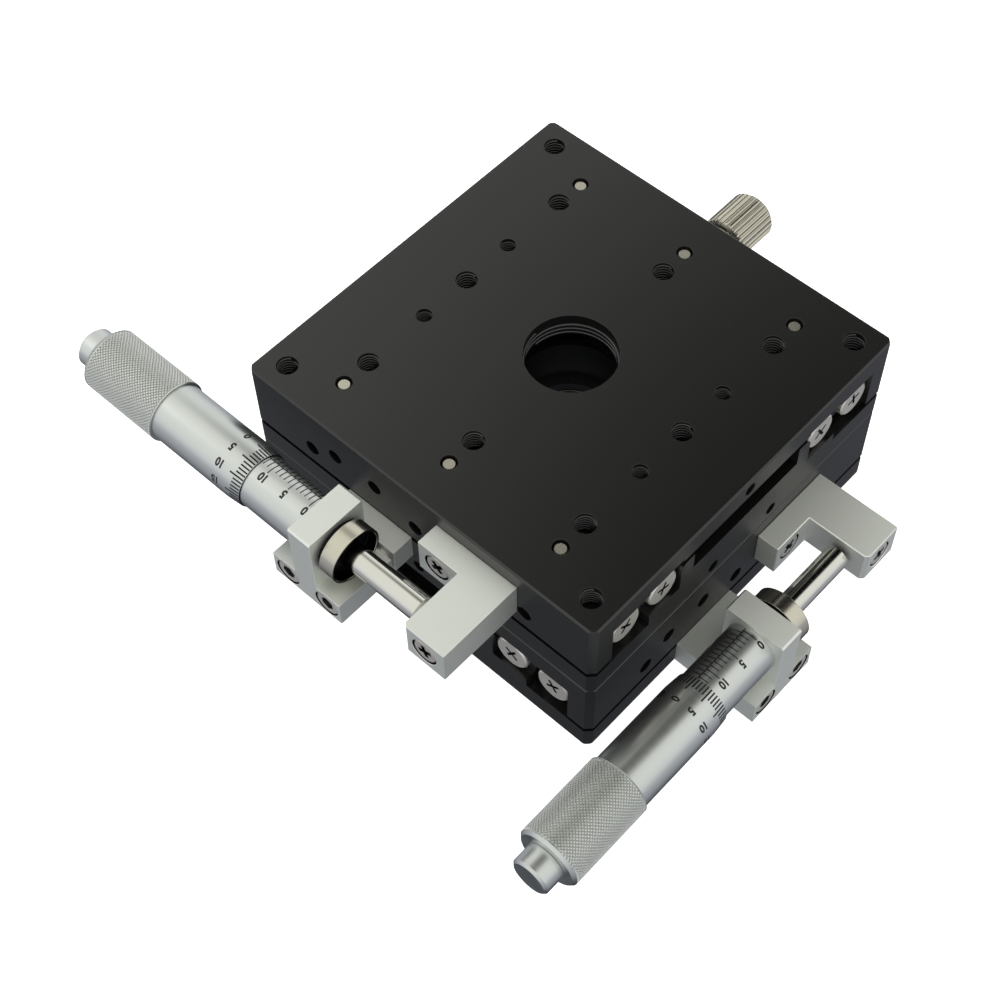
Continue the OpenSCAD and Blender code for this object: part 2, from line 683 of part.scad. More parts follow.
module fixed_post() {
  color([0.7, 0.7, 0.7]) translate([fixed_post_x, spring_y, tongue_z - channel_depth - post_d + screw_short])
    cylinder(h = post_d - screw_short + channel_depth - post_tip, d = post_d);
}

module moving_post() {
  color([0.7, 0.7, 0.7]) translate([moving_post_x, spring_y, tongue_z - channel_depth + post_tip])
    cylinder(h = under_z + table_t / 2 - screw_short - tongue_z + channel_depth - post_tip, d = post_d);
}

upper() table();  // x_table
lower() table();  // y_table
upper() base(false);  // x_base
lower() base(true);  // y_base
upper() outer_rails();  // x_outer_rails
lower() outer_rails();  // y_outer_rails
upper() inner_rails();  // x_inner_rails
lower() inner_rails();  // y_inner_rails
upper() roller_cages();  // x_roller_cages
lower() roller_cages();  // y_roller_cages
upper() rollers();  // x_rollers
lower() rollers();  // y_rollers
upper() stop_screws(outer_mid);  // x_outer_stop_screws
lower() stop_screws(outer_mid);  // y_outer_stop_screws
upper() stop_screws(inner_mid);  // x_inner_stop_screws
lower() stop_screws(inner_mid);  // y_inner_stop_screws
upper() outer_rail_screws();  // x_outer_rail_screws
lower() outer_rail_screws();  // y_outer_rail_screws
upper() inner_rail_screws();  // x_inner_rail_screws
lower() inner_rail_screws();  // y_inner_rail_screws
upper() preload_screws();  // x_preload_screws
lower() preload_screws();  // y_preload_screws
stack_screws();
upper() holder();  // x_holder
lower() holder();  // y_holder
upper() holder_screws();  // x_holder_screws
lower() holder_screws();  // y_holder_screws
upper() anvil();  // x_anvil
lower() anvil();  // y_anvil
upper() anvil_screws();  // x_anvil_screws
lower() anvil_screws();  // y_anvil_screws
upper() sleeve();  // x_sleeve
lower() sleeve();  // y_sleeve
upper() clamp_nut();  // x_clamp_nut
lower() clamp_nut();  // y_clamp_nut
upper() spindle();  // x_spindle
lower() spindle();  // y_spindle
upper() spindle_tip();  // x_spindle_tip
lower() spindle_tip();  // y_spindle_tip
upper() thimble();  // x_thimble
lower() thimble();  // y_thimble
upper() end_cap();  // x_end_cap
lower() end_cap();  // y_end_cap
upper() lock_strip();  // x_lock_strip
lower() lock_strip();  // y_lock_strip
upper() lock_strip_screws();  // x_lock_strip_screws
lower() lock_strip_screws();  // y_lock_strip_screws
upper() lock_screw();  // x_lock_screw
lower() lock_screw();  // y_lock_screw
upper() return_spring();  // x_return_spring
lower() return_spring();  // y_return_spring
upper() fixed_post();  // x_fixed_post
lower() fixed_post();  // y_fixed_post
upper() moving_post();  // x_moving_post
lower() moving_post();  // y_moving_post
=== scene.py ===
# %% [markdown]
# # A two-axis microscope stage
#
# Two equal slides stand on each other at right angles, and a micrometer head pushes each.
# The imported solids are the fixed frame: they say where each piece is and what it moves with.
# This lesson gives them fine edges, threads, knurls, marks and finishes, one kind at a time.

# %% Load the frame
import json
import math

import bmesh
import bpy
from mathutils import Matrix, Vector


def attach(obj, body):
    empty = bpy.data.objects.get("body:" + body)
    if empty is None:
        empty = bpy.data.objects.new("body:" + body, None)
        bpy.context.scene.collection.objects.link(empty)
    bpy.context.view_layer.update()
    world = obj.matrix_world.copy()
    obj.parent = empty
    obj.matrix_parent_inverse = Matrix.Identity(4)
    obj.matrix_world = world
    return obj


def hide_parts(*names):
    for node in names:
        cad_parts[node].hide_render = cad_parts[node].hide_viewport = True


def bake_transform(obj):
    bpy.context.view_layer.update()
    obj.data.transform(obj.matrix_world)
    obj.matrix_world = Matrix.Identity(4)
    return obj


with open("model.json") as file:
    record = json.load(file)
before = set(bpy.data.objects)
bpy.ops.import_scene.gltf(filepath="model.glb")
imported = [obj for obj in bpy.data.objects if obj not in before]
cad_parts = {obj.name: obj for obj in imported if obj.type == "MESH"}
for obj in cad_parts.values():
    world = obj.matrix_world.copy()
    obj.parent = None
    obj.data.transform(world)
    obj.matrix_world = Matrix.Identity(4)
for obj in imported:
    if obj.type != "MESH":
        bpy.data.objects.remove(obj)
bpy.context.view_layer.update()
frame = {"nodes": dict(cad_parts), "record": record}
MM = 0.001
scene = bpy.context.scene

# %% [markdown]
# The camera comes first, so that every later step can be looked at from the photograph's place.
# A camera can be aimed by eye, but here its place and its three directions were worked out from
# the plate's corners and holes, whose real distances are known, so the picture lines up.

# %% Camera
LENS_MM = 67.1
SENSOR_MM = 36
NEAREST = 0.01
CAMERA_AT = Vector((128.765, -153.732, 297.25)) * MM
PICTURE_RIGHT = Vector((0.73690, 0.67587, -0.01326))
PICTURE_DOWN = Vector((0.55876, -0.62002, -0.55079))
PICTURE_IN = Vector((-0.38048, 0.39847, -0.83454))

camera_data = bpy.data.cameras.new("camera")
camera_data.lens = LENS_MM
camera_data.sensor_width = SENSOR_MM
camera_data.clip_start = NEAREST
camera = bpy.data.objects.new("camera", camera_data)
facing = Matrix((PICTURE_RIGHT, -PICTURE_DOWN, -PICTURE_IN)).transposed().to_4x4()
camera.matrix_world = Matrix.Translation(CAMERA_AT) @ facing
scene.collection.objects.link(camera)
bpy.context.scene.camera = camera
print("camera", round(CAMERA_AT.length / MM), "mm from the middle of the base")

# %% [markdown]
# Every finish is a small tree of nodes. Two helpers keep them readable: one turns a colour
# written as it looks on a screen into the linear value that Blender wants, and one adds a node
# with its settings and links. A link is an output socket given where a number could be.

# %% Helpers for node trees


def linear(code):
    """An sRGB hex colour such as #8090a0 as linear RGBA."""
    parts = [int(code[i : i + 2], 16) / 255 for i in (1, 3, 5)]
    return [c / 12.92 if c <= 0.04045 else ((c + 0.055) / 1.055) ** 2.4 for c in parts] + [1.0]


def add(tree, kind, inputs=None, **settings):
    """A node of that kind: settings are its own options, inputs are values or output sockets."""
    node = tree.nodes.new(kind)
    for key, value in settings.items():
        setattr(node, key, value)
    for key, value in (inputs or {}).items():
        if isinstance(value, bpy.types.NodeSocket):
            tree.links.new(value, node.inputs[key])
        else:
            node.inputs[key].default_value = value
    return node


print("half grey on a screen is", round(linear("#808080")[0], 3), "of white's light")

# %% [markdown]
# Three small patterns make up every finish here: a mix of two colours, a cloudy noise, and a
# relief that tilts the surface without moving it. Each is one node, and each function hands
# back the socket that the next one needs.

# %% Patterns
# A Mix node has sockets of the same name for each kind of data, so these go by their number
MIX_SHARE, MIX_ONE, MIX_OTHER, MIX_RESULT = 0, 6, 7, 2


def mixed(tree, share, one, other):
    """A colour between two colours."""
    inputs = {MIX_SHARE: share, MIX_ONE: one, MIX_OTHER: other}
    return add(tree, "ShaderNodeMix", inputs, data_type="RGBA").outputs[MIX_RESULT]


def noise(tree, place, scale, detail):
    """A cloudy pattern between 0 and 1."""
    inputs = {"Vector": place, "Scale": scale, "Detail": detail}
    return add(tree, "ShaderNodeTexNoise", inputs).outputs["Fac"]


def relief(tree, height, depth, under=None):
    """The tilt that a pattern of that depth, in mm, gives a surface, over another relief."""
    inputs = {"Height": height, "Distance": depth * MM, "Strength": 1}
    if under is not None:
        inputs["Normal"] = under
    return add(tree, "ShaderNodeBump", inputs).outputs[0]


print("a colour mix, a noise and a relief are ready")

# %% [markdown]
# A machined or coated surface shows three things: a colour that drifts a little from place to
# place, a fine grain from blasting or etching, and lines from turning, grinding or rolling.
# One function builds all three from sizes in millimetres, so each finish differs by its numbers.
# Lines run across one axis of the object, because a turned piece's lines circle its own axis.

# %% The surface builder
DRIFT_MM = 18
DRIFT_DETAIL = 3
GRAIN_DETAIL = 2
# Along a line the noise is fifty times as long as it is wide
LINE_SQUEEZE = 0.02
# Noise hardly ever leaves this range, so the roughness is spread over it
NOISE_LOW, NOISE_HIGH = 0.3, 0.7


def surface(name, colours, metallic, roughness, grain, lines=None, ior=None):
    """colours: two hex codes. roughness: lowest and highest. grain: size and depth in mm.
    lines: spacing and depth in mm, and the axis along which they are spaced."""
    material = bpy.data.materials.new(name)
    material.use_nodes = True
    tree = material.node_tree
    shader = tree.nodes["Principled BSDF"]
    shader.inputs["Metallic"].default_value = metallic
    if ior:
        shader.inputs["IOR"].default_value = ior
    place = add(tree, "ShaderNodeTexCoord").outputs["Object"]
    drift = noise(tree, place, 1 / (DRIFT_MM * MM), DRIFT_DETAIL)
    colour = mixed(tree, drift, linear(colours[0]), linear(colours[1]))
    texture = noise(tree, place, 1 / (grain[0] * MM), GRAIN_DETAIL)
    tilt = relief(tree, texture, grain[1])
    if lines:
        spacing, depth, axis = lines
        scale = [LINE_SQUEEZE / (spacing * MM)] * 3
        scale["xyz".index(axis)] = 1 / (spacing * MM)
        stretched = add(tree, "ShaderNodeMapping", {"Vector": place, "Scale": scale})
        texture = noise(tree, stretched.outputs[0], 1, GRAIN_DETAIL)
        tilt = relief(tree, texture, depth, tilt)
    spread = {"From Min": NOISE_LOW, "From Max": NOISE_HIGH}
    spread |= {"To Min": roughness[0], "To Max": roughness[1]}
    rough = add(tree, "ShaderNodeMapRange", {"Value": texture, **spread})
    tree.links.new(colour, shader.inputs["Base Color"])
    tree.links.new(rough.outputs[0], shader.inputs["Roughness"])
    tree.links.new(tilt, shader.inputs["Normal"])
    return material


print("a finish drifts in patches of", DRIFT_MM, "mm")

# %% [markdown]
# The record's slots name ten finishes. Six of them have no direction, so one material serves
# both slides. Six more have no slot of their own: they are the milled sides, the cut threads,
# the plated screw heads, the ring nuts, the knurled grips and the paint in the engraving.

# %% Finishes without a direction
# Black anodised aluminium: dyed oxide on an etched face, satin, drifting from warm to cold
BLACK = surface(
    "black_anodised_aluminium", ("#0c0c0c", "#10100f"), 0, (0.22, 0.27), (0.16, 0.003), ior=1.57
)
# The same on the milled sides, which are a little rougher than the fly-cut top
MILLED_BLACK = surface(
    "black_anodised_milled", ("#0c0c0c", "#10100f"), 0, (0.37, 0.45), (0.16, 0.003), ior=1.53
)
# The same dye on a freshly cut thread, where the metal was smooth before it was anodised
CUT_BLACK = surface(
    "black_anodised_thread", ("#101011", "#151516"), 0, (0.16, 0.24), (0.2, 0.001), ior=1.62
)
# Bead-blasted clear-anodised aluminium: matt, cool, with a grain as fine as flour
BLASTED = surface(
    "bead_blasted_aluminium", ("#e4e6e1", "#ebede8"), 1, (0.5, 0.62), (0.14, 0.008)
)
# Plated steel screw heads: tumbled and zinc-nickel plated, silvery with soft reflections
PLATED = surface("plated_screw_steel", ("#dedad2", "#eae6de"), 1, (0.44, 0.56), (0.12, 0.002))
# Turned and polished nut steel: slightly warm, smooth enough for soft bands of light
NUT_STEEL = surface(
    "polished_nut_steel", ("#bdb8a9", "#c9c5b8"), 1, (0.18, 0.24), (0.25, 0.0003)
)
# Black oxide on steel: a thin blue-black film that still shines like metal. As a second finish it
# also paints shade into screw recesses and counterbore walls, and darkens the nut's hollow.
BLACK_OXIDE_AND_SHADE = surface("black_oxide_steel", ("#1c1d1f", "#26272a"), 1, (0.3, 0.42), (0.2, 0.003))
# Rolled brass sheet: warm yellow, dulled by handling
BRASS = surface("rolled_brass_sheet", ("#b08d4a", "#c29f5c"), 1, (0.26, 0.4), (0.3, 0.002))
# Sintered carbide: lapped, dark and dense
CARBIDE = surface("lapped_carbide", ("#6c6c70", "#78787c"), 1, (0.12, 0.2), (0.1, 0.0006))
# Drawn spring wire: bright grey with soft die lines
WIRE = surface("drawn_spring_wire", ("#8e8f90", "#a4a5a5"), 1, (0.25, 0.35), (0.2, 0.002))
# Black paint rubbed into the engraved marks: dull, a little grey
INK = surface("engraving_paint", ("#0d0d0e", "#16161a"), 0, (0.5, 0.6), (0.1, 0.002), ior=1.5)
# Knurled chrome: the rolling wheels press the teeth's faces frosted, so the grip scatters light
KNURLED = surface("knurled_chrome", ("#d3d5d2", "#dbdcda"), 1, (0.42, 0.52), (0.16, 0.0015))
print(len(bpy.data.materials), "materials so far")

# %% [markdown]
# A piece that was turned or ground carries fine lines, and they show where the light falls
# along them. They are spaced along the piece's own axis, so the other four finishes come in two
# versions: "_x" for the upper slide, whose head lies along X, and "_y" for the lower one. The
# rails are ground lengthwise, so their lines are spaced upwards on both slides.

# %% Finishes with lines
PLAIN = {
    "black_anodised": BLACK,
    "blasted_aluminium": BLASTED,
    "black_oxide_steel": BLACK_OXIDE_AND_SHADE,
    "brass_sheet": BRASS,
    "carbide": CARBIDE,
    "spring_steel": WIRE,
}
# Name, two colours, roughness, grain, and the lines' spacing and depth
LINED = {
    # Ground hardened steel: long fine scratches along the rail
    "hardened_steel": (
        "ground_steel_", ("#9a9b9d", "#a9aaac"), (0.2, 0.34), (0.3, 0.001), (0.12, 0.002)
    ),
    # Polished steel: near mirror, with the last strokes of the grinding wheel left round it
    "polished_steel": (
        "polished_steel_", ("#c9c8c2", "#d6d5cf"), (0.08, 0.16), (0.4, 0.0005), (0.25, 0.0006)
    ),
    # Turned stainless steel: a little warm, with tool lines round it
    "stainless_steel": (
        "turned_stainless_steel_",
        ("#bdb8a9", "#cbc7ba"),
        (0.2, 0.3),
        (0.25, 0.0006),
        (0.06, 0.00025),
    ),
    # Satin chrome: plated over a brushed face, bright but with no sharp reflections
    "satin_chrome": (
        "satin_chrome_", ("#c4c7c5", "#ced1cf"), (0.28, 0.36), (0.18, 0.0008), (0.06, 0.0002)
    ),
}
FINISHES = {axis: dict(PLAIN) for axis in "xy"}
for axis, finishes in FINISHES.items():
    for slot, (name, colours, roughness, grain, lines) in LINED.items():
        spaced = "z" if slot == "hardened_steel" else axis
        finishes[slot] = surface(name + axis, colours, 1, roughness, grain, (*lines, spaced))
    print("slide", axis, "has", len(finishes), "finishes")

# %% [markdown]
# Both slides are one design. Working in one slide's own coordinates, with x along its travel and
# the micrometer on the -y side, every piece is made once and placed twice by a matrix. The
# matrix goes into the mesh, so that each finished object still sits at the origin.

# %% Places and bodies
UNIT_H = 20
HEAD_Y, HEAD_Z = -52, 13
PLACE = {
    "x": Matrix.Translation((0, 0, UNIT_H * MM)),
    "y": Matrix.Rotation(math.radians(90), 4, "Z"),
}
HEAD_AXIS = Matrix.Translation((0, HEAD_Y * MM, HEAD_Z * MM))
CARRIER = {"x": "middle", "y": "lower_base"}
MOVER = {"x": "top", "y": "middle"}
BODIES = frame["record"]["behaviour"]["bodies"]
BODY_OF = {node: body for body, members in BODIES.items() for node in members}
SLOT_OF = {entry["node"]: entry["material_slot"] for entry in frame["record"]["subparts"]}
print("upper slide on", CARRIER["x"], "- lower slide on", CARRIER["y"])

# %% [markdown]
# A piece goes into the scene in two steps. Its shape becomes a mesh that is shaded smooth but
# keeps its real edges sharp.

# %% From a shape to a piece
SMOOTH_ANGLE = math.radians(20)


def new_mesh(name, shape, angle=SMOOTH_ANGLE):
    """Turns a bmesh into a mesh, smooth except where faces meet more sharply than the angle."""
    mesh = bpy.data.meshes.new(name)
    shape.to_mesh(mesh)
    shape.free()
    mesh.shade_smooth()
    mesh.set_sharp_from_angle(angle=angle)
    return mesh


def finished(name, mesh, body, material, stands_for=(), second=None):
    """Puts a mesh in the scene as a piece that rides on a body.
    Faces marked 1 get the second finish."""
    marks = [face.material_index for face in mesh.polygons]
    mesh.materials.clear()
    mesh.materials.append(material)
    if second:
        mesh.materials.append(second)
        mesh.polygons.foreach_set("material_index", marks)
    piece = bpy.data.objects.new(name, mesh)
    scene.collection.objects.link(piece)
    if stands_for:
        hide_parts(*stands_for)
    if body:
        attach(piece, body)
    return piece


print("faces that meet below", round(math.degrees(SMOOTH_ANGLE)), "degrees are shaded smooth")

# %% [markdown]
# A milled edge is never a knife edge. The tool or a deburring pass leaves a narrow chamfer,
# and that thin line is what catches the light round every plate and hole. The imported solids
# come as loose triangles, so a copy is welded, its flat faces are joined, and then each
# edge sharper than 60 degrees is cut back by a tenth of a millimetre or two. The solids' own
# 45-degree chamfers stay as crisp as they are.

# %% A chamfered copy of a solid
WELD_MM = 0.001
FLAT = math.radians(0.5)
EDGE = math.radians(60)


def chamfered(node, width):
    """A copy of a solid, welded and with its edges cut back by width, in mm."""
    shape = bmesh.new()
    shape.from_mesh(frame["nodes"][node].data)
    bmesh.ops.remove_doubles(shape, verts=shape.verts, dist=WELD_MM * MM)
    bmesh.ops.dissolve_limit(shape, angle_limit=FLAT, verts=shape.verts, edges=shape.edges)
    sharp = [e for e in shape.edges if len(e.link_faces) == 2 and e.calc_face_angle() > EDGE]
    if width:
        bmesh.ops.bevel(
            shape, geom=sharp, offset=width * MM, segments=1, affect="EDGES", clamp_overlap=True
        )
    return new_mesh(node, shape)


print("edges sharper than", round(math.degrees(EDGE)), "degrees are cut back")

# %% [markdown]
# Some solids show two finishes. The plates' sides are milled while their faces are fly-cut, and
# the hollow of the ring nut looks black. Cutting such a piece in two would leave an open seam,
# so its faces are marked instead, by where they are and how they face.

# %% Milled sides and the nut's hollow
UPRIGHT = 0.3
NUT_BACK = -6.5
NUT_INNER_R = 5.03


def side_faces(mesh, axis):
    """The upright faces of a plate."""
    return [face for face in mesh.polygons if abs(face.normal.z) < UPRIGHT]


def inside_nut(mesh, axis):
    """The faces that lie inside the clamp nut's cup, which get the dark second finish."""
    local = (PLACE[axis] @ HEAD_AXIS).inverted()
    found = []
    for face in mesh.polygons:
        at = local @ face.center
        if at.x > NUT_BACK * MM and math.hypot(at.y, at.z) < NUT_INNER_R * MM:
            found.append(face)
    return found


print("the nut's hollow reaches from", NUT_BACK, "mm to its face")

# %% [markdown]
# The screws in the bracket and in the holder's foot sit in counterbores, and a dark ring shows
# round each head. The walls of these bores are found by their distance from the screw's middle,
# and they get a black finish as painted shade.
# The seats' places are kept, because the screws themselves are set on them later.

# %% Counterbores
ACROSS = 0.5
SINK_R = 2.72
BRACKET_SEATS = ((19, -54.8, 12.8), (9.5, -41.9, 12.8))
HOLDER_SEATS = ((-13.3, -55.8, 2.95), (-3.9, -55.8, 2.95))


def sink_walls(mesh, axis):
    """The round walls of the counterbores, which get a black finish as painted shade."""
    local = PLACE[axis].inverted()
    seats = BRACKET_SEATS + HOLDER_SEATS
    found = []
    for face in mesh.polygons:
        at, out = local @ face.center, local.to_3x3() @ face.normal
        near = min(math.hypot(at.x - x * MM, at.z - z * MM) for x, _, z in seats)
        if near < SINK_R * MM and abs(out.y) < ACROSS:
            found.append(face)
    return found


SECOND_FINISH = {
    "table": (MILLED_BLACK, side_faces),
    "base": (MILLED_BLACK, side_faces),
    "clamp_nut": (BLACK_OXIDE_AND_SHADE, inside_nut),
    "sleeve": (BLACK_OXIDE_AND_SHADE, inside_nut),
    # The anvil's and holder's counterbore walls are painted black as shade
    "anvil": (BLACK_OXIDE_AND_SHADE, sink_walls),
    "holder": (BLACK_OXIDE_AND_SHADE, sink_walls),
}
print(len(SECOND_FINISH), "kinds of piece have a second finish")

# %% [markdown]
# Each kind of solid gets the chamfer its maker would give it, in millimetres. The roller cages
# are thin sheet and keep their edges. Thimbles, springs and the screws whose recesses face the
# viewer are missing in the table: they are made anew further down.

# %% Chamfered pieces
CHAMFERS = {
    "table": 0.1,
    "base": 0.1,
    "outer_rails": 0.15,
    "inner_rails": 0.15,
    "roller_cages": 0,
    "rollers": 0.08,
    "outer_rail_screws": 0.05,
    "inner_rail_screws": 0.1,
    "preload_screws": 0.08,
    "holder": 0.15,
    "anvil": 0.15,
    "sleeve": 0.08,
    "clamp_nut": 0.08,
    "spindle": 0.04,
    "spindle_tip": 0.03,
    "end_cap": 0.06,
    "lock_strip": 0.12,
    "lock_strip_screws": 0.1,
    "lock_screw": 0.03,
    "fixed_post": 0.05,
    "moving_post": 0.05,
}
STACK_CHAMFER = 0.08
OWN_FINISH = {"clamp_nut": NUT_STEEL}
chamfer_jobs = [(f"{a}_{part}", a, part, width) for part, width in CHAMFERS.items() for a in "xy"]
chamfer_jobs.append(("stack_screws", "x", "stack_screws", STACK_CHAMFER))
for node, axis, part, width in chamfer_jobs:
    slot = SLOT_OF[node]
    finish = OWN_FINISH.get(part, FINISHES[axis][slot])
    mesh = chamfered(node, width)
    second, chosen = SECOND_FINISH.get(part, (None, None))
    for face in chosen(mesh, axis) if chosen else ():
        face.material_index = 1
    made = finished(node + "_edged", mesh, BODY_OF[node], finish, [node], second)
    print(made.name, len(made.data.polygons), "faces")

# %% [markdown]
# Turned pieces are a profile swept round an axis. Each ring here is a place along the axis and
# a radius, and the radius may also be a function of the angle, which gives recesses in a screw
# head without any cutting: the cross is just another ring. Rings are bridged with quads.

# %% Turned shapes
ROUND = 96


def turned(rings, count=ROUND, along="X"):
    """Rings of (place, radius or function of angle) in mm, as a closed bmesh round X or Z.
    Where the last ring is the first again, the profile is closed and has no end faces."""
    shape = bmesh.new()
    loops = []
    for place, radius in rings:
        loop = []
        for i in range(count):
            angle = 2 * math.pi * i / count
            r = radius(angle) if callable(radius) else radius
            point = (place, r * math.cos(angle), r * math.sin(angle))
            if along == "Z":
                point = (point[1], point[2], point[0])
            loop.append(shape.verts.new(Vector(point) * MM))
        loops.append(loop)
    if rings[0] != rings[-1]:
        shape.faces.new(loops[0])
        shape.faces.new(loops[-1])
    for one, two in zip(loops, loops[1:]):
        for i in range(count):
            j = (i + 1) % count
            shape.faces.new((one[i], one[j], two[j], two[i]))
    bmesh.ops.remove_doubles(shape, verts=shape.verts, dist=WELD_MM * MM)
    bmesh.ops.recalc_face_normals(shape, faces=shape.faces)
    return shape


print("turned pieces have", ROUND, "sides")

# %% [markdown]
# Whatever repeats is made by Geometry Nodes. Every tree here has named inputs and ends in
# Realize Instances and Set Material, so that its result is a plain mesh. The first two helpers
# open and close a tree.

# %% Opening and closing a tree


def new_tree(name, inputs):
    """An empty node tree with named inputs, and its input and output nodes."""
    tree = bpy.data.node_groups.new(name, "GeometryNodeTree")
    for label, kind in inputs.items():
        tree.interface.new_socket(label, in_out="INPUT", socket_type="NodeSocket" + kind)
    tree.interface.new_socket("Geometry", in_out="OUTPUT", socket_type="NodeSocketGeometry")
    return tree, tree.nodes.new("NodeGroupInput").outputs, tree.nodes.new("NodeGroupOutput")


def end_tree(tree, geometry, material, exit_node):
    """The last two nodes of every tree."""
    real = add(tree, "GeometryNodeRealizeInstances", {"Geometry": geometry})
    dressed = add(
        tree, "GeometryNodeSetMaterial", {"Geometry": real.outputs[0], "Material": material}
    )
    tree.links.new(dressed.outputs[0], exit_node.inputs[0])
    print("tree", tree.name, "with", len(tree.nodes), "nodes")


print("every tree ends in Realize Instances and Set Material")

# %% [markdown]
# Two of the four trees set copies of an item on points, and three of them work out a few
# numbers and vectors. With these helpers each tree further down reads like a recipe.

# %% Copies and sums in a tree


def end_with_copies(tree, given, exit_node, points, angles):
    """Sets the tree's item on points, turned by angles, and ends the tree."""
    rotation = add(tree, "FunctionNodeEulerToRotation", {0: angles})
    item = add(tree, "GeometryNodeObjectInfo", {"Object": given["Item"], "As Instance": True})
    inputs = {"Points": points, "Instance": item.outputs["Geometry"]}
    inputs["Rotation"] = rotation.outputs[0]
    copies = add(tree, "GeometryNodeInstanceOnPoints", inputs)
    end_tree(tree, copies.outputs[0], given["Material"], exit_node)


def worked_out(tree, operation, *values):
    """A sum with values or sockets."""
    return add(tree, "ShaderNodeMath", dict(enumerate(values)), operation=operation).outputs[0]


def along_x(tree, value):
    """A vector along X."""
    return add(tree, "ShaderNodeCombineXYZ", {"X": value}).outputs[0]


print("copies are turned by angles and set on points")

# %% [markdown]
# The first tree sets copies of one item in a row along X, turning each a little further round X
# than the last. That one rule gives a ring of knurl teeth, then dozens of such rings, and also
# all the graduations.

# %% The row tree
row, given, result = new_tree(
    "row",
    {
        "Item": "Object",
        "Count": "Int",
        "Start": "Float",
        "Step": "Float",
        "First turn": "Float",
        "Turn": "Float",
        "Material": "Material",
    },
)
line = {"Count": given["Count"], "Start Location": along_x(row, given["Start"])}
line["Offset"] = along_x(row, given["Step"])
points = add(row, "GeometryNodeMeshLine", line)
index = add(row, "GeometryNodeInputIndex").outputs[0]
angle = worked_out(row, "MULTIPLY_ADD", index, given["Turn"], given["First turn"])
end_with_copies(row, given, result, points.outputs[0], along_x(row, angle))

# %% [markdown]
# A tree does nothing by itself. This helper gives it to an empty host object, fills its inputs
# by their sockets' identifiers, evaluates it once and keeps the plain mesh. The host and its
# modifier are then gone, and so is the item once nothing more is grown from it.

# %% Growing a mesh from a tree


def grow(tree, host_mesh=None, **inputs):
    """The plain mesh that a tree makes with these inputs (spaces in names become underscores)."""
    host = bpy.data.objects.new("host", host_mesh or bpy.data.meshes.new("host"))
    scene.collection.objects.link(host)
    modifier = host.modifiers.new("grow", "NODES")
    modifier.node_group = tree
    for socket in tree.interface.items_tree:
        key = socket.name.replace(" ", "_")
        if socket.in_out == "INPUT" and key in inputs:
            modifier[socket.identifier] = inputs[key]
    graph = bpy.context.evaluated_depsgraph_get()
    mesh = bpy.data.meshes.new_from_object(host.evaluated_get(graph))
    bpy.data.objects.remove(host)
    return mesh


def template(name, mesh):
    """An object that trees copy from. It is removed with forget()."""
    pattern = bpy.data.objects.new(name, mesh)
    scene.collection.objects.link(pattern)
    return pattern


def forget(*patterns):
    """Removes templates."""
    for pattern in patterns:
        bpy.data.objects.remove(pattern)


print("trees are grown on an empty host and leave a plain mesh")

# %% [markdown]
# The micrometer's thimble is one turned piece: a bevel with the fine scale, a smooth barrel and a
# knurled grip. It is hollow, because it runs over the sleeve. The profile goes from the closed
# end of the hollow out to the bevel's thin edge, back over the barrel and the grip, and in again
# at the tail.

# %% Thimble profile
EDGE_X = -24.7
BEVEL_END = -28.0
GRIP_X = -46.5
THIMBLE_END = -64.5
CAVITY_END = -55.6
BEVEL_R = 5.4
BARREL_R = 5.7
CAVITY_R = 5.3
TAIL_R = 2.03
HUB_R = 2.6
ROOT_R = 5.93
TOOTH_R = 6.2
# Small cuts: the funnel in the mouth, the broken edge, the groove before the grip, its two rims
FUNNEL_L, FUNNEL_OPEN = 0.3, 0.07
EDGE_BREAK = 0.03
GROOVE_START, GROOVE_FLOOR, GROOVE_DEEP = 0.1, 0.06, 0.08
RIM_CUT, RIM_LOW, RIM_END = 0.12, 0.01, 0.3
TAIL_CUT, TAIL_LOW, TAIL_RIM, HUB_SINK = 0.6, 0.03, 0.75, 0.2
THIMBLE_PROFILE = [
    (CAVITY_END, TAIL_R),
    (CAVITY_END, CAVITY_R),
    (EDGE_X - FUNNEL_L, CAVITY_R),
    (EDGE_X, CAVITY_R + FUNNEL_OPEN),
    (EDGE_X - EDGE_BREAK, BEVEL_R),
    (BEVEL_END, BARREL_R),
    (GRIP_X + GROOVE_START, BARREL_R),
    (GRIP_X + GROOVE_FLOOR, BARREL_R - GROOVE_DEEP),
    (GRIP_X, BARREL_R - GROOVE_DEEP),
    (GRIP_X, TOOTH_R - RIM_CUT),
    (GRIP_X - RIM_CUT, TOOTH_R - RIM_LOW),
    (GRIP_X - RIM_END, ROOT_R),
    (THIMBLE_END + TAIL_RIM, ROOT_R),
    (THIMBLE_END + TAIL_CUT, TOOTH_R - TAIL_LOW),
    (THIMBLE_END, TOOTH_R - TAIL_CUT),
    (THIMBLE_END, HUB_R),
    (THIMBLE_END + HUB_SINK, TAIL_R),
    (CAVITY_END, TAIL_R),
]
core_mesh = new_mesh("core", turned(THIMBLE_PROFILE))
print("thimble of", round(EDGE_X - THIMBLE_END, 1), "mm,", len(core_mesh.polygons), "faces")

# %% [markdown]
# Two wheels pressed into the turning grip leave crossed grooves, so little flat-topped pyramids
# stand between them. A bump map would leave the outline smooth, so the teeth are real. Only
# one tooth is modelled, and trees repeat it.

# %% One tooth of the knurl
TEETH = 54
TOOTH_L = 0.7
TOOTH_TOP = 0.5
TOOTH_SUNK = 0.03
HALF_TOOTH = math.pi / TEETH


